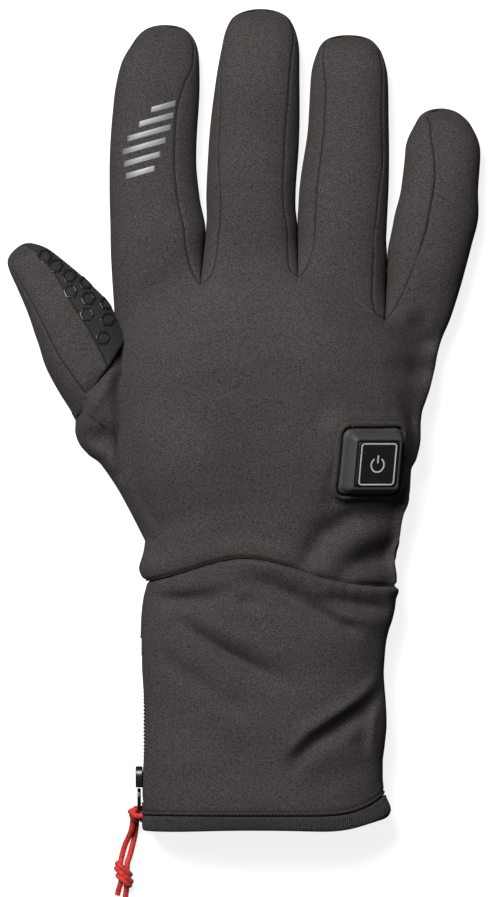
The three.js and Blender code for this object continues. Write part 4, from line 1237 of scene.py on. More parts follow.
    def side_strip(self, number: int, side: Edge, rows: int) -> Points:
        """A finger's side below its widest level, down to the palm's seam."""
        finger = self.fingers[number]
        sign = side.sign
        low = self.finger_turn()
        share = sign * across_shares(self.side_count, UNDER_POWER, 1.0, low)
        share = share[::-1] if side is Edge.LEFT else share
        y, _ = self.finger_heights(number, rows, share)
        return self.surface(number, share[None, :], finger.place(share[None, :], y), y, True)

    def crotch_groove(self, grid: Points) -> Points:
        """Sinks the palm's grid round each crotch, as deep as the seams that meet there."""
        crotches = grid[-1, self.upper_count - 1 : -1 : self.upper_count - 1]
        away = np.linalg.norm(grid[:, :, None] - crotches, axis=-1)
        sunk = bell(away, self.groove_width).sum(axis=-1)
        return grid - np.array([0.0, 0.0, 1.0]) * (self.groove * np.minimum(sunk, 1.0))[..., None]


# The control's place, which the cloth round it follows


@dataclass(frozen=True)
class ControlPlace:
    """The control's own frame: its origin is where the foot's middle leaves the cloth, z points out."""

    x: float = 35.1
    y: float = 43.9
    tilt: float = 27.0
    pitch: float = 11.0
    width: float = 23.6
    corner: float = 3.0
    depth: float = 3.2

    def origin(self, palm: Palm) -> Points:
        """The origin, on the palm's plain form."""
        along = self.y / palm.knuckle(self.x)
        table = palm.sections
        places = table.column("along")
        left, right, top = (np.interp(along, places, table.column(name)) for name in ("left", "right", "top"))
        crown = top * palm.thickness
        share = (self.x / palm.width - (left + right) / 2) / ((right - left) / 2)
        return np.array([self.x, self.y, float(upper_height(share, WIDEST * crown, crown))])

    def turn(self) -> Points:
        """Its rotation: the pitch about x, then the tilt about y."""
        pitch = Matrix.Rotation(np.radians(self.pitch), 3, "X")
        tilt = Matrix.Rotation(np.radians(self.tilt), 3, "Y")
        return np.array(tilt @ pitch)

    def inward(self, points: Points, palm: Palm) -> Points:
        """Points of the glove's frame, seen from the control's."""
        return (points - self.origin(palm)) @ self.turn()

    def outward(self, points: Points, palm: Palm) -> Points:
        """Points of the control's frame, seen from the glove's."""
        return points @ self.turn().T + self.origin(palm)

    def beyond(self, local: Points, margin: float) -> Values:
        """Distance outside the foot's rounded square, grown by a margin, and less than 0 inside it."""
        inner = self.width / 2 + margin - self.corner
        out = np.abs(local[..., :2]) - inner
        outside = np.hypot(*np.moveaxis(np.maximum(out, 0.0), -1, 0))
        return outside + np.minimum(out.max(axis=-1), 0.0) - self.corner


@dataclass
class SeamThread(Maker):
    """The dark thread along the seams: a thin line that swells at each stitch."""

    radius: float = 0.19
    swelling: float = 0.45
    pitch: float = 0.62
    lines: list[Points] = field(default_factory=list)

    def follow(self, line: Points, lift: float = 0.24) -> None:
        """Adds a seam's line, a little above the bottom of its groove."""
        self.lines.append(line + np.array([0.0, 0.0, lift]))

    def tube(self, line: Points) -> Patch:
        """One seam's thread: its radius is r (1 + b cos(2 pi s / pitch)), with s the distance along it."""
        run = arc_lengths(line, 0)
        kept = np.concatenate(([True], np.diff(run) > TINY))
        count = max(8, int(run[-1] / (self.pitch / 4)))
        even = np.linspace(0.0, run[-1], count)
        path = read_at(even, run[kept], line[kept])
        swell = 1.0 + self.swelling * np.cos(2 * np.pi * even / self.pitch)
        radius = self.radius * swell[:, None] * np.ones((1, 6))
        return Patch(capped(round_tube(path, radius, 6)), ring=True)

    def build(self) -> None:
        """Makes all the thread as one piece."""
        patches = [self.tube(line) for line in self.lines]
        self.bench.piece("seam_thread", patches, self.finishes.thread, "softshell")


@dataclass
class HandCloth(Maker):
    """The hand's sewn panels: back, palm and the fourchettes between the fingers."""

    hand: Hand
    control: ControlPlace
    thread: SeamThread
    seat_reach: float = 8.0
    seat_level: float = -0.5

    def seated(self, grid: Points) -> Points:
        """Draws the cloth round the control onto the plane of its foot."""
        local = self.control.inward(grid, self.hand.palm)
        away = self.control.beyond(local, 0.0)
        near = (1.0 - ease(away, 0.5, self.seat_reach)) * (np.abs(local[..., 2]) < 14.0)
        fold = 1.3 * bell(away - 3.2, 1.6) * ease(-local[..., 0] + local[..., 1], -6.0, 16.0)
        sunk = -2.6 * bell(away - 2.6, 2.4) * ease(-local[..., 1] - 0.4 * local[..., 0], 2.0, 14.0)
        local[..., 2] = mix(local[..., 2], self.seat_level, near) + fold + sunk
        moved = self.control.outward(local, self.hand.palm)
        return np.where((away < self.seat_reach * 1.6)[..., None], moved, grid)

    def back_patches(self) -> list[Patch]:
        """The grids of the back panel."""
        hand = self.hand
        top = self.seated(hand.crotch_groove(hand.palm_grid(hand.upper_columns(), hand.palm_rows)))
        sides = [hand.palm_grid(hand.side_columns(side), hand.palm_rows) for side in (Edge.LEFT, Edge.RIGHT)]
        whole = self.wrist_edge(np.concatenate((sides[0], top[:, 1:-1], sides[1]), axis=1))
        self.thread.follow(whole[0], 0.3)
        middles = (whole[:-1, :-1] + whole[1:, 1:]) / 2
        outside = self.control.beyond(self.control.inward(middles, hand.palm), 0.0) > 0.4
        high = middles[..., 2] > 20.0
        patches = [Patch(whole, keep=outside | ~high)]
        for number, finger in enumerate(hand.fingers):
            grid = hand.strip(number, Edge.LEFT, Edge.RIGHT, hand.upper_count)
            patches.append(Patch(hand.sewn(grid, list(finger.seams)), thin=[Edge.END]))
            for side in (Edge.LEFT, Edge.RIGHT):
                if side not in finger.gaps:
                    patches.append(Patch(hand.side_strip(number, side, hand.finger_rows), thin=[Edge.END]))
        return patches

    def wrist_edge(self, grid: Points) -> Points:
        """Turns the hand's lower edge in over the cuff, after a slight bulge above it."""
        distance = edge_distance(grid, Edge.START)
        swell = 0.6 * bell(distance - 4.0, 3.0) - 1.0 * bell(distance, 0.8)
        return grid + face_directions(grid) * swell[..., None]

    def palm_patches(self) -> list[Patch]:
        """The grids of the palm panel."""
        hand = self.hand
        columns = hand.under_columns()
        patches = [Patch(hand.palm_grid(columns, hand.palm_rows // 2), flip=True)]
        first = 1.0 - turn_of(hand.seam_share(FINGER_MIDDLE), UNDER_POWER)
        share = across_shares(hand.under_count, UNDER_POWER, first, 1.0 - first)[None, :]
        for number, finger in enumerate(hand.fingers):
            y, _ = hand.finger_heights(number, hand.finger_rows // 2, share[0])
            grid = hand.surface(number, share, finger.place(share, y), y, True)
            patches.append(Patch(grid, flip=True, thin=[Edge.END]))
        return patches

    def fourchette(self, near: int) -> list[Patch]:
        """The strips on both sides of the gap after one finger."""
        hand = self.hand
        patches = []
        for number, side in ((near, Edge.RIGHT), (near + 1, Edge.LEFT)):
            seam = Edge.LEFT if side is Edge.RIGHT else Edge.RIGHT
            grid = hand.creased(hand.sewn(hand.strip(number, side, None, 17), [seam]), number, side)
            self.thread.follow(grid[:-20, 0 if seam is Edge.LEFT else -1])
            patches.append(Patch(grid, thin=[Edge.END]))
            patches.append(Patch(hand.side_strip(number, side, hand.finger_rows), thin=[Edge.END]))
        return patches

    def build(self) -> None:
        """Makes the panels."""
        self.panel("back_panel_cloth", self.back_patches(), "back_panel")
        names = ("fourchette_index_middle", "fourchette_middle_ring", "fourchette_ring_little")
        for near, name in enumerate(names):
            self.panel(f"{name}_cloth", self.fourchette(near), name)
        self.panel("palm_panel_cloth", self.palm_patches(), "palm_panel", grip=True)


# The thumb and its gusset


@dataclass(frozen=True)
class ThumbForm:
    """The thumb along a line that leans outwards, and the gusset between it and the hand's heel."""

    root: tuple[float, float] = (-51.98, 50.0)
    lean: float = 29.0
    length: float = 78.2
    width: float = 30.0
    thickness: float = 25.0
    base: float = 20.5
    slant: float = 0.555
    gusset_length: float = 58.0
    gusset_width: float = 27.0
    gusset_thickness: float = 25.0
    sections: Table = section_table(
        (0.1, 0.16, 0.97, 0.9), (0.25, 0.155, 0.975, 0.96), (0.33, 0.147, 0.985, 1.0),
        (0.45, 0.162, 1.01, 0.98), (0.59, 0.195, 0.94, 0.93), (0.7, 0.182, 0.81, 0.86),
        (0.845, 0.133, 0.63, 0.71), (0.93, 0.093, 0.51, 0.58), (0.972, 0.07, 0.37, 0.44),
        (1.0, 0.09, 0.0, 0.22),
    )
    gusset_sections: Table = section_table(
        (0.0, 0.1, 0.95, 0.93), (0.05, 0.06, 1.04, 0.98), (0.12, 0.05, 1.06, 0.99),
        (0.26, 0.075, 1.04, 1.0), (0.4, 0.13, 0.98, 1.0), (0.62, 0.14, 0.93, 1.0),
        (0.95, 0.12, 0.93, 1.0), (1.0, 0.1, 0.55, 0.8),
    )
    outer_seam: Table = Table(
        SEAM_COLUMNS, ((20.0, -2.2), (40.0, -4.0), (60.0, -3.6), (72.0, -3.9), (78.2, 1.0))
    )
    inner_seam: Table = Table(SEAM_COLUMNS, ((20.0, 9.2), (60.0, 9.2), (68.0, 8.2), (74.0, 6.6), (78.2, 3.6)))

    def place(self, along: Values, across: Values, height: Values) -> Points:
        """Points given along and across the thumb."""
        lean = np.radians(self.lean)
        x = self.root[0] - along * np.sin(lean) + across * np.cos(lean)
        y = self.root[1] + along * np.cos(lean) + across * np.sin(lean)
        return np.stack(np.broadcast_arrays(x, y, height), axis=-1)

    def to_tip(self, along: Values) -> Values:
        """Root of the share of the length that is left to the tip."""
        return np.sqrt(np.clip(1.0 - along / self.length, 0.0, None))

    def read(self, name: str, along: Values, last: float) -> Values:
        """A column of the thumb's sections at places along it, with its value at the tip."""
        return self.sections.read_to_tip(name, self.to_tip(along), last)

    def span(self, along: Values) -> tuple[Values, Values]:
        """Middle and half width across the thumb."""
        return self.width * self.read("centre", along, 0.1), self.width / 2 * self.read("wide", along, 0.0)

    def surface(self, along: Values, share: Values, under: bool) -> Points:
        """Points of the thumb at shares of its half width."""
        middle_across, half = self.span(along)
        deep = self.read("deep", along, 0.22)
        middle = widest_level(self.thickness, deep)
        crown, full = rounded_crown(middle, deep * self.thickness, self.to_tip(along))
        height = under_height(share, middle, full) if under else upper_height(share, middle, crown)
        return self.place(along, middle_across + share * half, height)

    def seam_share(self, seam: Table, along: Values) -> Values:
        """Share of the half width at which a seam runs up the thumb."""
        middle_across, half = self.span(along)
        return np.clip((seam.read("share", along) - middle_across) / np.maximum(half, 0.1), -1.0, 1.0)

    def rows(self, count: int, across: Values) -> Values:
        """Places along the thumb, from the slanted seam at its base to its tip."""
        even = np.linspace(0.0, 1.0, count)[:, None]
        left = (self.to_tip(self.base) * (1.0 - even)) ** 2
        return self.length * (1.0 - left) + self.slant * across * (1.0 - ease(even, 0.0, 0.7))

    def gusset(self, back: Values, share: Values, under: bool) -> Points:
        """Points of the gusset, with back from 0 inside the thumb's base to 1 in the hand's heel."""
        table = self.gusset_sections
        middle_across = self.gusset_width * table.read("centre", back)
        half = self.gusset_width / 2 * table.read("wide", back)
        deep = table.read("deep", back)
        middle = widest_level(self.gusset_thickness, deep)
        crown = deep * self.gusset_thickness
        height = under_height(share, middle) if under else upper_height(share, middle, crown)
        across = middle_across + share * half
        slanted = self.slant * across * (1.0 - ease(back, 0.0, 0.5))
        return self.place(self.base - back * self.gusset_length + slanted, across, height)


@dataclass
class ThumbCloth(Maker):
    """The thumb's side, back and grip strips and its gusset."""

    thread: SeamThread
    form: ThumbForm = field(default_factory=ThumbForm)
    rows: int = 90
    seam_turn: float = 0.86  # how far round the underside the palm's seam runs
    seam_depth: float = 0.45
    seam_width: float = 0.5
    cross_seam: Knots = ((-63.5, 60.4), (-60.0, 57.6), (-56.9, 55.5), (-54.6, 53.7))
    # x, y, width and depth of each fold's knots
    back_folds: Folds = Folds(
        (((-54.5, 75.5, 2.4, 0.4), (-57.5, 71.5, 3.0, 1.9), (-61.0, 67.0, 3.0, 1.6),
         (-64.0, 62.0, 2.2, 0.4)),)
    )
    gusset_folds: Folds = Folds(
        (
            ((-63.5, 60.4, 1.1, 0.9), (-54.6, 53.7, 1.1, 0.9)),
            ((-65.0, 53.0, 3.6, 1.0), (-58.0, 52.0, 4.0, 4.6), (-51.0, 49.0, 4.2, 5.4)),
            ((-52.5, 72.0, 2.6, 3.0), (-51.5, 56.0, 2.8, 3.4), (-50.5, 40.0, 3.0, 4.0)),
            ((-55.0, 73.0, 2.2, -0.9), (-61.0, 64.0, 2.4, -1.3), (-64.0, 60.5, 2.4, -0.6)),
            ((-72.0, 60.6, 1.8, 3.2), (-67.0, 60.4, 1.8, 2.6), (-63.5, 61.0, 2.0, 0.0)),
        )
    )

    def laid(self, turn: Values, under: bool) -> Points:
        """The thumb's surface at places round it, one column for each."""
        form = self.form
        share = share_at(turn, UNDER_POWER if under else UPPER_POWER)
        middle_across, half = form.span(form.rows(self.rows, np.zeros(1)))
        along = np.minimum(form.rows(self.rows, middle_across + share * half), form.length)
        return form.surface(along, share, under)

    def strip(self, from_turn: Values, to_turn: Values, count: int, edges: Sequence[Edge]) -> Points:
        """A strip over the thumb's upper side between two places round it, with its sewn edges turned in."""
        grid = self.laid(mix(from_turn, to_turn, crowded(count, 0.4)), False)
        return rolled_in(grid, edges, self.seam_depth, self.seam_width)

    def under_strip(self, from_turn: float, to_turn: float, count: int) -> Patch:
        """A strip under the thumb, from one side to the other."""
        grid = self.laid(np.linspace(from_turn, to_turn, count)[None, :], True)
        return Patch(grid, flip=True, thin=[Edge.END])

    def build(self) -> None:
        """Makes the strips and the gusset."""
        form, tip = self.form, [Edge.END]
        level = form.rows(self.rows, np.zeros(1))
        outer = turn_of(form.seam_share(form.outer_seam, level), UPPER_POWER)
        inner = turn_of(form.seam_share(form.inner_seam, level), UPPER_POWER)
        side_top = self.strip(np.zeros_like(outer), outer, 17, [Edge.RIGHT])
        side_low = self.under_strip(0.0, 1 - self.seam_turn, 6)
        self.panel("thumb_side_cloth", [Patch(side_top, thin=tip), side_low], "thumb_side_panel")
        back = self.strip(outer, inner, 25, [Edge.LEFT, Edge.RIGHT])
        back[..., 2] -= self.back_folds.depth(back[..., 0], back[..., 1])
        for line in (back[:-14, 0], back[:-14, -1]):
            self.thread.follow(line)
        self.panel("thumb_back_cloth", [Patch(back, thin=tip)], "thumb_back_panel")
        grip_top = self.strip(inner, np.ones_like(inner), 17, [Edge.LEFT])
        grip_low = self.under_strip(1 - self.seam_turn, 1.0, 25)
        self.panel("thumb_grip_cloth", [Patch(grip_top, thin=tip), grip_low], "thumb_palm_panel", grip=True)
        back_rows = np.linspace(1.0, -0.05, 64)[:, None]
        top = form.gusset(back_rows, across_shares(31, UPPER_POWER)[None, :], False)
        lifted = ease(top[..., 2], 10.0, 18.0)
        top[..., 2] -= self.gusset_folds.depth(top[..., 0], top[..., 1]) * lifted
        self.thread.follow(self.over(top, self.cross_seam), 0.12)
        low = form.gusset(back_rows, across_shares(25, UNDER_POWER)[None, :], True)
        self.panel("thumb_gusset_cloth", [Patch(top), Patch(low, flip=True)], "thumb_gusset")

    def over(self, grid: Points, line: Knots) -> Points:
        """A line over a grid, from points of its plan and the height of the grid's nearest point."""
        plan = np.array(line)
        share = np.linspace(0.0, len(plan) - 1.0, 40)
        even = read_at(share, np.arange(len(plan)), plan)
        flat = grid.reshape(-1, 3)
        away = np.linalg.norm(flat[None, :, :2] - even[:, None], axis=-1)
        return np.concatenate((even, flat[away.argmin(axis=1)][:, 2:]), axis=1)


# The cuff and its hem


@dataclass(frozen=True)
class CuffForm:
    """The cuff from the wrist seam to the hem seam, and the rings below it."""

    palm: Palm = Palm()
    length: float = 78.6
    width: float = 90.0
    thickness: float = 33.0
    hem_lift: float = 8.0
    sections: Table = Table(
        ("along", "left", "right", "top"),
        (
            (0.0, -0.476, 0.498, 0.96), (0.025, -0.48, 0.504, 1.0), (0.07, -0.49, 0.494, 1.0),
            (0.12, -0.497, 0.489, 0.98), (0.17, -0.5, 0.48, 0.97), (0.23, -0.5, 0.464, 0.97),
            (0.29, -0.5, 0.454, 0.97), (0.36, -0.5, 0.449, 0.96), (0.43, -0.497, 0.446, 0.95),
            (0.5, -0.493, 0.449, 0.95), (0.58, -0.492, 0.454, 0.94), (0.68, -0.492, 0.457, 0.94),
            (0.78, -0.495, 0.45, 0.93), (0.86, -0.5, 0.442, 0.92), (0.93, -0.5, 0.442, 0.92),
            (1.0, -0.492, 0.447, 0.91),
        ),
    )
    # x, y, width and depth of each fold's knots
    folds: Folds = Folds(
        (
            ((-42, -3.2, 2.6, 1.0), (-36, -4.2, 2.8, 3.0), (-29, -4.6, 2.9, 3.2), (-20, -3.8, 2.8, 1.6),
             (-12, -1, 3, 0)),
            (
                (-12, 3.6, 2.6, 0), (-7, 3.0, 3.0, 1.6), (0, 0.6, 3.8, 3.4), (8, -3.6, 4.4, 4.6),
                (15, -8.4, 4.4, 4.6),
                (21, -11.6, 3.6, 3.4), (27.5, -14.4, 2.6, 2.6), (33, -17, 2.6, 0),
            ),
            ((16, -3.6, 2.4, 0), (23, -4.6, 2.6, 2.4), (32, -6.4, 3.0, 3.6), (40, -7.6, 3.0, 3.6),
             (45, -8, 3.0, 2.6)),
            ((22, -11.0, 2.4, 0), (29, -10.6, 2.4, -1.2), (37, -12, 2.6, -1.0), (42, -14, 2.6, 0)),
            ((-8, -5.0, 2.2, 1.4), (-5, -6.0, 2.2, 1.0)),
            (
                (-35, -10, 2.6, 0), (-30, -12.8, 2.4, 1.4), (-24, -17.6, 2.3, 2.6), (-15, -23.2, 2.2, 3.4),
                (-6, -28.0, 2.4, 3.0), (1, -31.6, 3.0, 1.6), (8, -33.5, 3.4, 0.6), (20, -33, 4, 0),
            ),
            ((-28, -9, 3.0, 0), (-20, -13.0, 3.0, -1.3), (-10, -18.2, 3.0, -1.9), (0, -23.0, 3.2, -1.3),
             (8, -26, 3, 0)),
            ((-41, -22, 3.6, 0), (-35, -26.6, 3.6, 1.5), (-24, -34, 3.8, 1.8), (-13, -41.5, 4.0, 1.6),
             (-3, -45, 4, 0)),
            ((42, -26, 2.2, -0.8), (38.7, -31.4, 2.2, -2.2), (33, -37.4, 2.3, -2.6), (25, -43.0, 2.4, -2.6),
             (14, -50.0, 2.6, -2.2), (8, -56.0, 2.6, -1.2), (5, -61, 3, 0)),
            (
                (43, -33, 2.8, 1.6), (39.6, -37.2, 3.0, 3.8), (33, -43.4, 3.2, 4.2), (24, -49.0, 3.2, 4.0),
                (15.5, -54.6, 3.2, 3.4), (10, -60.2, 3.2, 2.2), (6, -66, 3.4, 0),
            ),
            ((33.5, -47, 3.0, 1.2), (33, -54, 3.4, 2.4), (34.5, -60, 3.2, 0)),
            ((38.0, -40, 1.4, 0), (37.0, -46, 1.4, -1.5), (35.8, -54, 1.5, -1.4), (36.5, -59, 1.6, 0)),
            ((40, -20, 5, 1.2), (36, -30, 5, 0)),
            ((-30, -52, 8, 0.6), (0, -60, 8, 0.6)),
            ((-25, -67, 5, 0.5), (20, -70, 5, 0.5)),
            ((20, -66, 5, 0.6), (34, -62, 5, 0.9)),
        )
    )

    def hem(self, x: Values) -> Values:
        """The hem seam, which climbs with the cube of x towards the little finger's side."""
        return -self.length + self.hem_lift * np.clip((x / self.width - 0.16) / 0.3, 0.0, 1.1) ** 3

    def ring(self, turn: Values, along: Values, inset: Values, drop: Values) -> Points:
        """Points round the cuff.

        Args:
            turn: From 0 at the thumb's side over the back to 1, and on under the wrist to 2.
            along: From 0 at the wrist seam to 1 at the hem seam.
            inset: Distance inside the cuff's face.
            drop: Distance below the place that along gives.

        Returns:
            The points, in the shape that the four make together.
        """
        left = self.sections.read("left", along) * self.width
        right = self.sections.read("right", along) * self.width
        crown = self.sections.read("top", along) * self.thickness
        middle = WIDEST * crown
        under = turn > 1.0
        cosine = -np.cos(np.pi * turn)
        share = np.where(under, signed_power(cosine, UNDER_POWER), signed_power(cosine, UPPER_POWER))
        x = (left + right) / 2 + share * ((right - left) / 2 - inset)
        upper = upper_height(share, middle, crown - inset)
        lower = np.maximum(inset, under_height(share, middle))
        height = np.where(under, lower, upper)
        y = mix(self.palm.wrist(x), self.hem(x), along) - drop
        pressed = self.folds.depth(x, y) * ease((upper - middle) / (crown - middle), 0.1, 0.9)
        height = height - np.where(under, 0.0, pressed)
        return np.stack(np.broadcast_arrays(x, y, height), axis=-1)

    def even_turns(self, count: int) -> tuple[Values, float]:
        """Turns that stand at even distances round the hem, and its girth."""
        fine = np.linspace(0.0, 2.0, 4001)[None, :]
        lengths = arc_lengths(self.ring(fine, np.ones((1, 1)), 0.0, 0.0), 1)[0]
        wanted = np.linspace(0.0, lengths[-1], count, endpoint=False)
        return np.interp(wanted, lengths, fine[0]), float(lengths[-1])


@dataclass
class CuffCloth(Maker):
    """The cuff's cloth with its zip slot, the rolled seam and the ribbed hem band."""

    form: CuffForm = field(default_factory=CuffForm)
    rows: int = 120
    columns: int = 300
    wall: float = 2.0
    zip_length: float = 58.0
    zip_width: float = 9.0
    zip_height: float = 14.0
    zip_end_margin: float = 2.6
    seam_gap: float = 0.3
    roll_height: float = 1.6
    roll_pitch: float = 1.06
    band_height: float = 5.2
    band_wall: float = 1.8
    rib_pitch: float = 0.75
    right_flare: float = 2.2  # how far the hem stands out on the little finger's side
    right_drop: float = 3.2  # how much deeper the band is there

    def cuff(self) -> Patch:
        """The cuff's grid, from the hem seam up to the wrist seam."""
        turn = np.linspace(0.0, 2.0, self.columns, endpoint=False)[None, :]
        along = 1.0 - crowded(self.rows, 0.5)[:, None]
        grid = self.form.ring(turn, along, 0.0, 0.0)
        wrist = edge_distance(grid, Edge.END)
        hem = edge_distance(grid, Edge.START)
        gathers = 0.16 * np.sin(2 * np.pi * grid[..., 0] / 5.3 + 1.2 * np.sin(grid[..., 0] / 4.0))
        over_back = (turn < 1.0) * 1.0
        sunk = 0.7 * bell(wrist, 0.9) + 0.25 * bell(hem, 0.8) + gathers * bell(wrist - 3.0, 4.0) * over_back
        grid = grid - face_directions(grid) * sunk[..., None]
        grid[..., 2] = np.maximum(grid[..., 2], 0.0)
        flap = bell(grid[..., 2] - 20.0, 5.0) * (grid[..., 0] < 0) * (1.0 - ease(grid[..., 1], -20.0, -8.0))
        grid[..., 0] -= 0.9 * flap
        following = np.roll(grid, -1, axis=1)
        middles = (grid[:-1] + following[1:]) / 2
        bottom = -self.form.length + self.zip_end_margin
        in_slot = (
            (np.abs(middles[..., 2] - self.zip_height) < self.zip_width / 2)
            & (middles[..., 0] < 0)
            & (middles[..., 1] > bottom)
            & (middles[..., 1] < bottom + self.zip_length)
        )
        return Patch(grid, ring=True, keep=~in_slot)

    def roll(self) -> Patch:
        """The rolled seam: a round bead whose thread zigzags across it."""
        count = 2000
        turn, girth = self.form.even_turns(count)
        run = np.arange(count) / count * girth
        wave = np.abs((run / self.roll_pitch) % 1.0 - 0.5) * 4.0 - 1.0
        round_about = np.linspace(0.0, 2 * np.pi, 14, endpoint=False)[:, None]
        radius = self.roll_height / 2
        crest = bell(np.sin(round_about) - 0.7 * wave[None, :], 0.34) * (np.cos(round_about) > 0)
        face = radius * (0.82 + 0.42 * crest)
        inset = 0.3 - face * np.cos(round_about) + 0.2 * self.flare(turn)[None, :]
        drop = 0.8 * radius - face * np.sin(round_about)
        return Patch(self.form.ring(turn[None, :], np.ones((1, 1)), inset, drop), ring=True, tube=True)

    def flare(self, turn: Values) -> Values:
        """How far the hem stands out on the little finger's side."""
        return self.right_flare * bell(turn - 0.98, 0.13)

    def band(self) -> Patch:
        """The hem band: a folded strip whose outer face is ribbed up and down."""
        count = 2240
        turn, girth = self.form.even_turns(count)
        run = np.arange(count) / count * girth
        rib = np.abs(np.sin(np.pi * run / self.rib_pitch))
        start = self.seam_gap + 0.85 * self.roll_height
        # drop, inset and how strongly the ribs show
        profile = np.array(
            [
                (0.0, 1.5, 0.0), (0.0, 0.45, 0.2), (0.3, 0.05, 0.7), (1.2, 0.0, 1.0), (2.4, -0.05, 1.0),
                (3.6, 0.0, 1.0), (4.6, 0.12, 0.9), (5.1, 0.45, 0.6), (5.2, 0.9, 0.3), (5.0, 1.4, 0.1),
                (4.4, 1.75, 0.0), (2.4, 1.8, 0.0), (0.4, 1.8, 0.0),
            ]
        )
        left_to_right = -np.cos(np.pi * turn)[None, :] * self.form.width / 2
        wave = 0.3 * np.cos(2 * np.pi * (left_to_right + 38.0) / 70.0) * (turn < 1.0)
        wave = wave + self.right_drop * bell(turn - 0.97, 0.12)
        drop = start + profile[:, :1] * (self.band_height + wave) / 5.2
        inset = profile[:, 1:2] * self.band_wall / 1.8 - 0.4 * profile[:, 2:] * rib[None, :]
        inset = inset - self.flare(turn)[None, :] * (0.2 + 0.8 * ease(profile[:, :1], 0.4, 4.8))
        drop = np.broadcast_to(drop, inset.shape)
        grid = self.form.ring(turn[None, :], np.ones((1, 1)), inset, drop)
        grid[..., 2] = np.maximum(grid[..., 2], 0.0)
        return Patch(grid[::-1], ring=True, tube=True)

    def build(self) -> None:
        """Makes the cuff, its rolled seam and the hem band."""
        self.panel("cuff_cloth", [self.cuff()], "cuff", wall=self.wall)
        self.bench.piece("hem_roll_bead", [self.roll()], self.finishes.binding, "binding", ["hem_roll"])
        self.bench.piece("hem_band_rib", [self.band()], self.finishes.binding, "binding", ["hem_band"])


# Tubes, for cords, lips and threads


def round_tube(path: Points, radius: Values, sides: int, closed: bool = False) -> Points:
    """A round tube along a path.

    Its frame is carried from point to point: the side direction stays at right angles to the path and as
    level as the path allows. A point is path + radius (cos a side + sin a up).

    Args:
        path: Points along the middle line.
        radius: One radius, or one for each point and side.
        sides: Points round the tube.
        closed: True where the path joins its own start.

    Returns:
        A grid with a row for each point of the path.
    """
    if closed:
        ahead = np.roll(path, -1, axis=0) - np.roll(path, 1, axis=0)
    else:
        ahead = np.gradient(path, axis=0)
    ahead = unit(ahead)
    up = np.array([0.0, 0.0, 1.0]) + 0.02 * np.array([1.0, 0.3, 0.0])
    side = np.cross(ahead, up)
    side /= np.maximum(np.linalg.norm(side, axis=-1, keepdims=True), TINY)
    lift = np.cross(side, ahead)
    angle = np.linspace(0.0, 2 * np.pi, sides, endpoint=False)
    reach = np.broadcast_to(radius, (len(path), sides))[..., None]
    round_about = np.cos(angle)[None, :, None] * side[:, None] + np.sin(angle)[None, :, None] * lift[:, None]
    return path[:, None] + reach * round_about


def capped(grid: Points) -> Points:
    """Closes both ends of a tube to the middles of its end rings."""
    ends = [grid[0].mean(axis=0), grid[-1].mean(axis=0)]
    first = np.broadcast_to(ends[0], grid[:1].shape)
    last = np.broadcast_to(ends[1], grid[:1].shape)
    return np.concatenate((first, grid, last))


def smooth_path(points: Points, count: int) -> Points:
    """An even, smooth path through chosen points, read by their distance along the line."""
    points = np.asarray(points, float)
    steps = arc_lengths(points, 0)
    fine = np.linspace(0.0, steps[-1], 12 * count)
    curve = np.stack([through(fine, steps, points[:, axis]) for axis in range(3)], axis=-1)
    run = arc_lengths(curve, 0)
    return read_at(np.linspace(0.0, run[-1], count), run, curve)


# The control


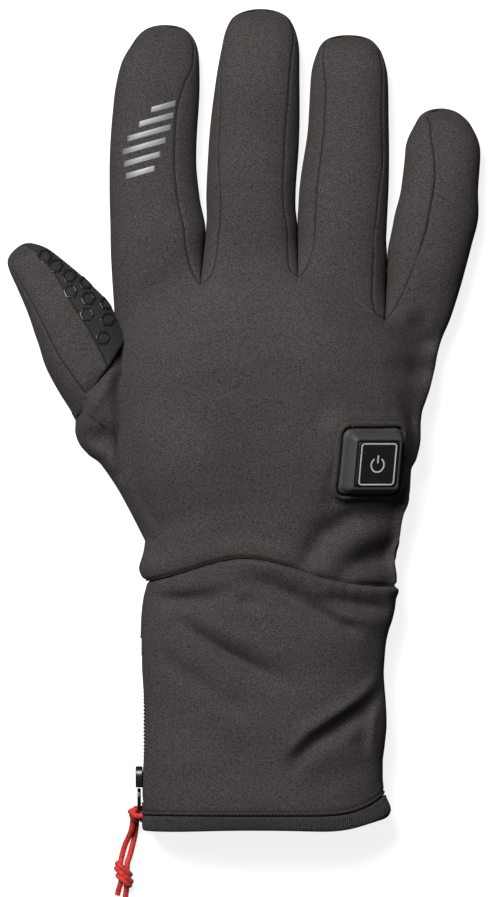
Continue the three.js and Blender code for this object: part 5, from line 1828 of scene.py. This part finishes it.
@dataclass
class ControlUnit(Maker):
    """The heat control: a bevelled housing, its push button with a printed frame, and the cloth's lip."""

    palm: Palm
    place: ControlPlace
    base_height: float = 3.4
    bevel_height: float = 5.4
    rim: float = 0.5
    clearance: float = 0.3
    button_width: float = 16.0
    button_thickness: float = 2.2
    button_proud: float = 0.3
    button_travel: float = 0.8
    edge: float = 0.55  # from the button's side to its dished face
    dish: float = 0.12  # how deep the face is hollowed
    frame_half: float = 6.75
    frame_stretch: float = 1.07  # how much taller than wide the printed frame is
    frame_width: float = 0.5
    symbol_width: float = 0.55
    around: int = 96

    @property
    def top(self) -> float:
        """The housing's top above the cloth."""
        return self.base_height - self.place.depth + self.bevel_height

    def square(self, half: Values, corner: Values, height: Values) -> Points:
        """Rings round a square with round corners.

        A ring's point is the corner's middle plus the corner's radius in the ring's direction, and the
        straight sides are the stretches between one corner and the next.

        Args:
            half: Half width of each ring.
            corner: Corner radius of each ring.
            height: Height of each ring.

        Returns:
            A grid with a row for each ring, in the control's frame.
        """
        per_side = self.around // 4
        arcs = per_side // 2
        bend = np.concatenate((np.linspace(0.0, 1.0, arcs), np.ones(per_side - arcs)))
        straight = np.concatenate((np.zeros(arcs), np.linspace(0.0, 1.0, per_side - arcs + 1)[1:]))
        corners = np.arange(4)
        angle = (np.pi / 2 * (corners[:, None] + bend[None, :]) - np.pi / 2).ravel()
        centre_x = np.array([1.0, 1.0, -1.0, -1.0])
        centre_y = np.array([-1.0, 1.0, 1.0, -1.0])
        next_x, next_y = np.roll(centre_x, -1), np.roll(centre_y, -1)
        middle_x = (centre_x[:, None] + (next_x - centre_x)[:, None] * straight).ravel()
        middle_y = (centre_y[:, None] + (next_y - centre_y)[:, None] * straight).ravel()
        half, corner, height = (np.atleast_1d(value)[:, None] for value in (half, corner, height))
        x = middle_x * (half - corner) + corner * np.cos(angle)
        y = middle_y * (half - corner) + corner * np.sin(angle)
        return np.stack(np.broadcast_arrays(x, y, height), axis=-1)

    def turned(self, grid: Points) -> Points:
        """A grid of the control's frame, in the glove's."""
        return self.place.outward(grid, self.palm)

    def closed(self, rings: Points) -> Patch:
        """A closed form from rows of half width, corner radius and height."""
        return Patch(self.turned(self.square(rings[:, 0], rings[:, 1], rings[:, 2])), ring=True)

    def housing(self) -> Patch:
        """The housing from the foot over its soft bevel down into the button's recess."""
        foot, corner = self.place.width / 2, self.place.corner
        low = self.base_height - self.place.depth
        inner = self.button_width / 2 + self.clearance
        outer = inner + self.rim
        floor = self.top + self.button_proud - self.button_thickness - self.button_travel - self.clearance
        # half width, corner radius and height of each ring
        rings = np.array(
            [
                (foot, corner, -self.place.depth),
                (foot, corner, low - 0.9),
                (foot - 0.1, corner, low - 0.3),
                (foot - 0.42, 2.9, low + 0.22),
                (foot - 0.95, 2.8, low + 0.75),
                (mix(foot, outer, 0.5), 1.9, mix(low, self.top, 0.56)),
                (outer + 0.62, 1.3, self.top - 0.6),
                (outer + 0.28, 1.2, self.top - 0.16),
                (outer + 0.05, 1.15, self.top),
                (inner + 0.12, 1.3, self.top),
                (inner, 1.4, self.top - 0.15),
                (inner, 1.4, floor),
                (0.5 * inner, 0.8, floor),
                (0.01, 0.005, floor),
            ]
        )
        fine = np.concatenate([np.linspace(a, b, 3, endpoint=False) for a, b in zip(rings[:-1], rings[1:])])
        base = np.array([[0.01, 0.005, -self.place.depth]])
        return self.closed(np.concatenate((base, fine, rings[-1:])))

    def button(self) -> Patch:
        """The button: straight sides, a soft edge and a face that is very slightly dished."""
        half = self.button_width / 2
        top = self.top + self.button_proud
        bottom = top - self.button_thickness
        dish = np.linspace(1.0, 0.0, 8)[1:]
        rings = [(0.01, 0.005, bottom), (half - 0.2, 1.0, bottom), (half, 1.2, bottom + 0.2)]
        rings += [(half, 1.2, top - 0.5), (half - 0.09, 1.15, top - 0.2), (half - 0.3, 1.05, top - 0.04)]
        rings += [(half - self.edge, 0.95, top)]
        for share in dish:
            height = top - self.dish * (1 - share * share)
            rings.append((max(0.01, (half - self.edge) * share), max(0.005, 0.95 * share), height))
        return self.closed(np.array(rings))

    def face_height(self, x: Values, y: Values) -> Values:
        """The button's face under a point of it."""
        half = self.button_width / 2 - self.edge
        share = np.clip(np.maximum(np.abs(x), np.abs(y)) / half, 0.0, 1.0)
        return self.top + self.button_proud - self.dish * (1 - share**2)

    def line_patch(self, path: Points, width: float, closed: bool) -> Patch:
        """A thin raised line on the button's face, along a path of x, y."""
        ahead = np.roll(path, -1, axis=0) - np.roll(path, 1, axis=0) if closed else np.gradient(path, axis=0)
        ahead = unit(ahead)
        side = np.stack((ahead[:, 1], -ahead[:, 0]), axis=-1)
        # across the line, and above the face
        section = np.array(
            [(-0.5, -0.04), (-0.5, 0.035), (-0.38, 0.06), (0.38, 0.06), (0.5, 0.035), (0.5, -0.04)]
        )
        plan = path[:, None] + side[:, None] * section[None, :, :1] * width
        height = self.face_height(plan[..., 0], plan[..., 1]) + section[None, :, 1]
        grid = np.concatenate((plan, height[..., None]), axis=-1)
        rows = self.turned(np.swapaxes(grid, 0, 1))
        if closed:
            return Patch(rows, ring=True, tube=True)
        return Patch(closed_ends(rows), tube=True)

    def frame_line(self) -> Patch:
        """The printed frame round the button's face."""
        ring = self.square(np.array([self.frame_half]), np.array([1.0]), np.array([0.0]))[0, :, :2]
        stretched = ring * np.array([1.0, self.frame_stretch])
        return self.line_patch(stretched, self.frame_width, True)

    def symbol(self) -> list[Patch]:
        """A plain standby sign: an open circle with a short bar."""
        angle = np.radians(np.linspace(125.0, 415.0, 60))
        circle = 2.5 * np.stack((np.cos(angle), np.sin(angle)), axis=-1) + np.array([0.0, -0.3])
        bar = np.stack((np.zeros(8), np.linspace(0.2, 3.1, 8)), axis=-1)
        return [self.line_patch(path, self.symbol_width, False) for path in (circle, bar)]

    def lip(self) -> Patch:
        """The cloth's turned edge round the foot, higher on its left and upper sides."""
        ring = self.square(np.array([self.place.width / 2 + 1.35]), np.array([4.2]), np.array([0.0]))[0]
        raised = ease(-ring[:, 0] + ring[:, 1], -14.0, 14.0)
        ring[:, 2] = -0.9 + 0.9 * raised
        radius = (0.4 + 0.75 * raised)[:, None] * np.ones((1, 12))
        return Patch(self.turned(round_tube(ring, radius, 12, closed=True)), ring=True, tube=True)

    def build(self) -> None:
        """Makes the control's pieces."""
        made, finishes, moving = self.bench.piece, self.finishes, "button"
        node = ["control_housing"]
        made("control_housing_shell", [self.housing()], finishes.housing, "housing_plastic", node)
        node = ["control_button"]
        made("control_button_cap", [self.button()], finishes.button, "button_plastic", node, moving)
        made("button_frame_line", [self.frame_line()], finishes.print_line, "button_plastic", (), moving)
        made("button_symbol", self.symbol(), finishes.print_line, "button_plastic", (), moving)
        made("control_lip", [self.lip()], finishes.shell, "softshell")


# The zip and the cord on its puller


@dataclass
class SideZip(Maker):
    """The zip at the thumb's side of the cuff: tape, coil, slider and puller."""

    nodes: dict[str, Thing]
    coil_pitch: float = 1.25
    edge: float = 0.28

    def softened(self, name: str, node: str, material: Material, slot: str) -> None:
        """A copy of a hard piece with its edges rounded over."""
        source = self.nodes[node]
        mesh = source.data.copy()
        mesh.name = name
        work = bmesh.new()
        work.from_mesh(mesh)
        bmesh.ops.remove_doubles(work, verts=work.verts, dist=0.005 * MM)
        bmesh.ops.dissolve_limit(
            work, angle_limit=0.02, verts=work.verts, edges=work.edges, use_dissolve_boundaries=False
        )
        work.to_mesh(mesh)
        work.free()
        made = bpy.data.objects.new(name, mesh)
        bpy.context.scene.collection.objects.link(made)
        mesh.materials.clear()
        mesh.materials.append(material)
        mesh.shade_smooth()
        mesh.set_sharp_from_angle(angle=np.radians(40))
        bevel = made.modifiers.new("edge", "BEVEL")
        bevel.width = self.edge * MM
        bevel.segments = 3
        bevel.limit_method = "ANGLE"
        bevel.angle_limit = np.radians(40)
        self.bench.tie(made, slot, [node])

    def coil(self) -> list[Patch]:
        """The zip's coil: a row of low loops across the chain, each half an oval tube."""
        low, high = self.bench.box("zip_chain")
        count = int((high[1] - low[1]) / self.coil_pitch)
        turn = np.linspace(0.0, np.pi, 9)
        half, middle = (high[2] - low[2]) / 2, (high[2] + low[2]) / 2
        patches = []
        for number in range(count):
            y = low[1] + (number + 0.5) * self.coil_pitch
            path = np.stack(
                (
                    high[0] - 0.25 - 0.75 * np.sin(turn),
                    y + 0.3 * self.coil_pitch * np.cos(turn),
                    middle + half * 0.92 * np.cos(turn),
                ),
                axis=-1,
            )
            patches.append(Patch(capped(round_tube(path, 0.36, 8)), ring=True))
        return patches

    def build(self) -> None:
        """Makes the zip's pieces."""
        tape = self.nodes["zip_tape"]
        tape.data.materials.clear()
        tape.data.materials.append(self.finishes.tape)
        self.bench.piece("zip_coil", self.coil(), self.finishes.tape, "zip_plastic", ["zip_chain"])
        self.softened("zip_slider_body", "zip_slider", self.finishes.metal, "zip_metal")
        self.softened("zip_puller_tongue", "zip_puller", self.finishes.metal, "zip_metal")


@dataclass
class PullCord(Maker):
    """The red cord: hitched through the puller's eye, two strands, and a stopper knot with two tails."""

    diameter: float = 2.0
    puller_round: float = 2.4
    eye_offset: float = 0.2
    droop: float = 38.0
    sides: int = 24
    # Given from the puller's eye in plan and from the floor upwards
    left: Knots = (
        (-2.3, -4.0, 6.0), (-2.5, -6.0, 5.0), (-3.0, -8.2, 3.8), (-3.9, -10.4, 2.3), (-4.9, -12.6, 1.3),
        (-5.7, -15.0, 1.1), (-6.3, -17.4, 1.2), (-6.7, -19.6, 1.9), (-6.6, -21.8, 2.6),
    )
    right: Knots = (
        (-0.9, -4.0, 4.2), (-1.1, -6.0, 3.1), (-1.4, -8.2, 1.9), (-1.8, -10.4, 1.2), (-2.3, -12.6, 1.1),
        (-2.9, -15.0, 1.1), (-3.6, -17.4, 1.3), (-4.3, -19.6, 1.9), (-4.4, -21.8, 2.6),
    )
    # On through the knot to the two short tails
    left_end: Knots = ((-6.2, -24.0, 2.9), (-6.6, -26.4, 2.4), (-7.3, -28.6, 1.6), (-7.8, -30.6, 1.1))
    right_end: Knots = (
        (-4.7, -24.0, 2.9), (-4.6, -26.4, 2.4), (-4.6, -28.6, 1.6), (-4.9, -30.8, 1.1), (-5.0, -32.4, 1.05),
    )

    def eye(self) -> Points:
        """The middle of the puller's eye, from the puller's box and its round end."""
        low, high = self.bench.box("zip_puller")
        angle = np.radians(self.droop)
        return np.array(
            [
                (low[0] + high[0]) / 2,
                low[1] + self.puller_round - self.eye_offset * np.cos(angle),
                low[2] + self.puller_round - self.eye_offset * np.sin(angle),
            ]
        )

    def braid(self, path: Points, closed: bool = False) -> Points:
        """A braided tube: its radius rises on two families of strands that wind opposite ways.

        The radius is r (0.93 + 0.07 max(|sin(4 a + k s)|, |sin(4 a - k s)|)), with a the angle round the
        cord, s the distance along it and k two turns of a strand in 5 mm, or one in 3 mm on a closed loop,
        whose length is taken as 12 mm.

        Args:
            path: Points along the middle line.
            closed: True where the path joins its own start.

        Returns:
            The tube's grid.
        """
        run = np.linspace(0.0, 12.0, len(path), endpoint=False) if closed else arc_lengths(path, 0)
        wound = (2 * np.pi / 3.0 if closed else 4 * np.pi / 5.0) * run[:, None]
        angle = np.linspace(0.0, 2 * np.pi, self.sides, endpoint=False)[None, :]
        strands = np.maximum(np.abs(np.sin(4 * angle + wound)), np.abs(np.sin(4 * angle - wound)))
        return round_tube(path, self.diameter / 2 * (0.93 + 0.07 * strands), self.sides, closed)

    def strand(self, name: str, node: str, points: Points) -> tuple[Thing, Points]:
        """One strand of the cord, from the eye to the end of its tail."""
        eye = self.eye()
        route = np.array([(0.0, 0.0, eye[2]), *points]) + np.array([eye[0], eye[1], 0.0])
        path = smooth_path(route, 150)
        grid = capped(self.braid(path))
        made = self.bench.piece(name, [Patch(grid, ring=True)], self.finishes.cord, "cord", [node])
        return made, path

    def hitch(self) -> list[Patch]:
        """The lark's head round the puller's end: two turns through the eye and a bar across them."""
        eye = self.eye()
        turn = np.linspace(0.0, 2 * np.pi, 60, endpoint=False)
        patches = []
        for side, tilt in ((-1.0, 0.5), (1.0, -0.4)):
            loop = np.stack(
                (
                    eye[0] + side * 1.0 + 1.7 * side * np.sin(turn) ** 2,
                    eye[1] - 1.9 + 2.0 * np.cos(turn),
                    eye[2] - 0.9 + 1.7 * np.sin(turn) + tilt * np.cos(turn),
                ),
                axis=-1,
            )
            patches.append(Patch(self.braid(loop, closed=True), ring=True, tube=True))
        across = np.array(
            [
                (-3.4, -0.6, 0.9), (-2.2, -1.6, 1.7), (-0.6, -2.6, 2.1), (1.0, -2.4, 1.9), (2.4, -1.2, 1.0),
                (3.1, 0.2, 0.0),
            ]
        )
        bar = smooth_path(across + eye, 60)
        patches.append(Patch(capped(self.braid(bar)), ring=True))
        return patches

    def knot(self) -> list[Patch]:
        """The stopper knot: two slanted wraps round both strands and a third that crosses them."""
        eye = self.eye()
        centre = np.array([eye[0] - 5.5, eye[1] - 22.92, 3.1])
        turn = np.linspace(0.0, 2 * np.pi, 72, endpoint=False)
        patches = []
        # offset along the cord, slant along it, half width and half height of the wrap
        wraps = ((1.5, -1.9, 2.2, 2.0), (-0.6, -2.3, 2.5, 2.15), (-2.5, -1.7, 2.0, 1.9))
        for offset, slant, wide, high in wraps:
            loop = np.stack(
                (
                    centre[0] + wide * np.cos(turn),
                    centre[1] + offset + slant * np.cos(turn),
                    centre[2] + high * np.sin(turn),
                ),
                axis=-1,
            )
            patches.append(Patch(self.braid(loop, closed=True), ring=True, tube=True))
        return patches

    def build(self) -> None:
        """Makes the cord's pieces."""
        hitch = self.bench.piece("cord_hitch_loops", self.hitch(), self.finishes.cord, "cord", ["cord_hitch"])
        knot = self.bench.piece("cord_knot_wraps", self.knot(), self.finishes.cord, "cord", ["cord_knot"])
        exit_point = self.bench.to_frame(self.eye())
        ends = (
            ("pull_cord_left_braid", "pull_cord_left", self.left + self.left_end, [hitch, knot]),
            ("pull_cord_right_braid", "pull_cord_right", self.right + self.right_end, []),
        )
        for name, node, points, others in ends:
            made, path = self.strand(name, node, points)
            self.bench.to_frame(path).tolist()


# Prints and seams


@dataclass
class IndexBars(Maker):
    """Reflective bars on the back of the index finger: a plain stepped row of slanted dashes."""

    hand: Hand
    raised: float = 0.07
    slant: float = 4.2  # how far a bar climbs over one half width of the finger
    bar_height: float = 2.1
    # middle along the glove, left end, right end across the finger as shares of its half width
    bars: Knots = (
        (145.0, -0.62, 0.05), (149.6, -0.66, 0.18), (154.2, -0.7, 0.3), (158.8, -0.6, 0.4),
        (163.4, -0.36, 0.44),
        (168.0, -0.1, 0.46),
    )

    def bar(self, y: float, left: float, right: float) -> Patch:
        """One bar as a closed strip that follows the finger's surface."""
        finger = self.hand.fingers[0]
        share = np.linspace(left, right, 26)[None, :]
        rise = self.slant * (share - (left + right) / 2)
        edge = np.array(
            [(-0.5, -0.05), (-0.5, 0.6), (-0.42, 1.0), (0.0, 1.0), (0.42, 1.0), (0.5, 0.6), (0.5, -0.05)]
        )
        along = y + rise + edge[:, :1] * self.bar_height
        x = finger.place(share, along)
        height = finger.height(share, along, False) + self.raised * edge[:, 1:]
        grid = np.stack(np.broadcast_arrays(x, along, height), axis=-1)
        return Patch(closed_ends(grid), tube=True)

    def build(self) -> None:
        """Makes the bars."""
        patches = [self.bar(*row) for row in self.bars]
        self.bench.piece("index_reflective_bars", patches, self.finishes.reflective, "softshell")


@dataclass
class GripRings(Maker):
    """Raised silicone hexagon rings on the thumb's grip strip."""

    form: ThumbForm
    across_flats: float = 3.9
    line: float = 0.8
    raised: float = 0.3
    # Places along and across the thumb
    places: Knots = (
        (60.2, 12.6), (50.0, 14.6), (40.3, 17.0), (55.2, 10.4), (45.4, 11.5), (35.4, 12.4), (65.6, 10.2),
        (70.4, 8.4), (55.4, 16.6), (45.6, 19.6),
    )

    def ring(self, along: float, across: float) -> Patch:
        """One hexagon ring that follows the thumb's surface.

        Its radius at angle a is the hexagon's: flats / (2 cos(a - nearest sixth of a turn)).
        """
        angle = np.linspace(0.0, 2 * np.pi, 36, endpoint=False)
        sixth = np.pi / 3
        off = (angle + sixth / 2) % sixth - sixth / 2
        hexagon = 1.0 / np.cos(off)
        # distance from the line's middle, in line widths, and height
        section = np.array([(-0.5, -0.3), (-0.46, 0.6), (-0.2, 1.0), (0.2, 1.0), (0.46, 0.6), (0.5, -0.3)])
        radius = (self.across_flats / 2 + section[:, :1] * self.line) * hexagon[None, :]
        u = across + radius * np.cos(angle)
        t = along + radius * np.sin(angle)
        middle_across, half = self.form.span(t)
        share = np.clip((u - middle_across) / half, -0.995, 0.995)
        base = self.form.surface(t, share, False)
        ahead = self.form.surface(t, np.clip(share + 0.01, -1.0, 1.0), False) - base
        lean = np.radians(self.form.lean)
        axis = np.array([-np.sin(lean), np.cos(lean), 0.0])
        out = np.cross(ahead, axis)
        out /= np.maximum(np.linalg.norm(out, axis=-1, keepdims=True), TINY)
        return Patch(base + out * (section[:, 1:] * self.raised)[..., None], ring=True, tube=True)

    def build(self) -> None:
        """Makes the rings."""
        patches = [self.ring(along, across) for along, across in self.places]
        self.bench.piece("thumb_grip_rings", patches, self.finishes.silicone, "grip_cloth")


# The studio


@dataclass
class Studio:
    """A pale floor, soft light and a camera straight above the glove."""

    millimetres_in_pixel: float = 0.35
    frame_height: int = 897
    lens: float = 400.0
    sensor: float = 36.0
    look_at: tuple[float, float, float] = (0.521, -10.118, 20.0)
    light_place: tuple[float, float, float] = (-0.46, 0.7, 1.3)
    light_size: float = 0.75
    light_power: float = 31.0

    def camera(self) -> None:
        """The camera looks straight down, with the fingertips up in the picture."""
        data = bpy.data.cameras.new("camera")
        data.lens = self.lens
        data.sensor_width = self.sensor
        reach = self.millimetres_in_pixel * self.frame_height * self.lens / self.sensor
        made = bpy.data.objects.new("camera", data)
        made.location = Vector((self.look_at[0], self.look_at[1], self.look_at[2] + reach)) * MM
        made.rotation_euler = Euler((0.0, 0.0, 0.0))
        data.clip_start = 0.01
        data.clip_end = 20.0
        bpy.context.scene.collection.objects.link(made)
        bpy.context.scene.camera = made

    def light(self) -> None:
        """A square soft light that shines at the glove's middle."""
        data = bpy.data.lights.new("key", "AREA")
        data.shape = "SQUARE"
        data.size = self.light_size
        data.energy = self.light_power
        data.color = (1.0, 0.99, 0.98)
        made = bpy.data.objects.new("key", data)
        made.location = Vector(self.light_place)
        made.rotation_euler = (-made.location).to_track_quat("-Z", "Y").to_euler()
        bpy.context.scene.collection.objects.link(made)

    def build(self) -> None:
        """Makes camera, floor and lights."""
        self.camera()
        bpy.ops.mesh.primitive_plane_add(size=6.0, location=(0.0, 0.0, 0.0))
        floor = bpy.context.object
        floor.name = "floor"
        pale = Shader("floor", (0.45, 0.45, 0.45), 0.95)
        pale.main.inputs["Emission Color"].default_value = (1.0, 1.0, 1.0, 1.0)
        pale.main.inputs["Emission Strength"].default_value = 0.85
        floor.data.materials.append(pale.material)
        floor.visible_diffuse = False
        floor.visible_glossy = False
        world = bpy.data.worlds.new("studio")
        world.use_nodes = True
        world.node_tree.nodes["Background"].inputs["Color"].default_value = (1.0, 1.0, 1.0, 1.0)
        world.node_tree.nodes["Background"].inputs["Strength"].default_value = 0.05
        bpy.context.scene.world = world
        self.light()
        bpy.context.scene.view_settings.view_transform = "Standard"


def frame_shift(palm: Palm, place: ControlPlace, unit: ControlUnit) -> Points:
    """What turns the glove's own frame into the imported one, from the middle of the button's box."""
    low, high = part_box("control_button")
    packed = (np.array(low) + np.array(high)) / 2 / MM
    level = unit.top + unit.button_proud - unit.button_thickness / 2
    own = place.outward(np.array([0.0, 0.0, level]), palm)
    return packed - own


def corners(box: tuple[Vector, Vector]) -> list[list[float]]:
    """A box's corners as plain numbers."""
    return [list(map(float, corner)) for corner in box]


def main() -> None:
    """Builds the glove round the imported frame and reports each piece."""
    logging.basicConfig(level=logging.INFO, format="%(name)s: %(message)s")
    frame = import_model()
    Studio().build()
    finishes = Finishes.build()
    palm, place = Palm(), ControlPlace()
    bench = Bench(np.zeros(3))
    control = ControlUnit(bench, finishes, palm, place)
    bench.shift = frame_shift(palm, place, control)
    log.info("shift %s mm", np.round(bench.shift, 3))
    PullCord(bench, finishes).build()
    hand = Hand()
    thread = SeamThread(bench, finishes)
    HandCloth(bench, finishes, hand, place, thread).build()
    thumb = ThumbForm()
    ThumbCloth(bench, finishes, thread, thumb).build()
    thread.build()
    CuffCloth(bench, finishes).build()
    control.build()
    SideZip(bench, finishes, frame["nodes"]).build()
    IndexBars(bench, finishes, hand).build()
    GripRings(bench, finishes, thumb).build()


if __name__ == "__main__":
    main()
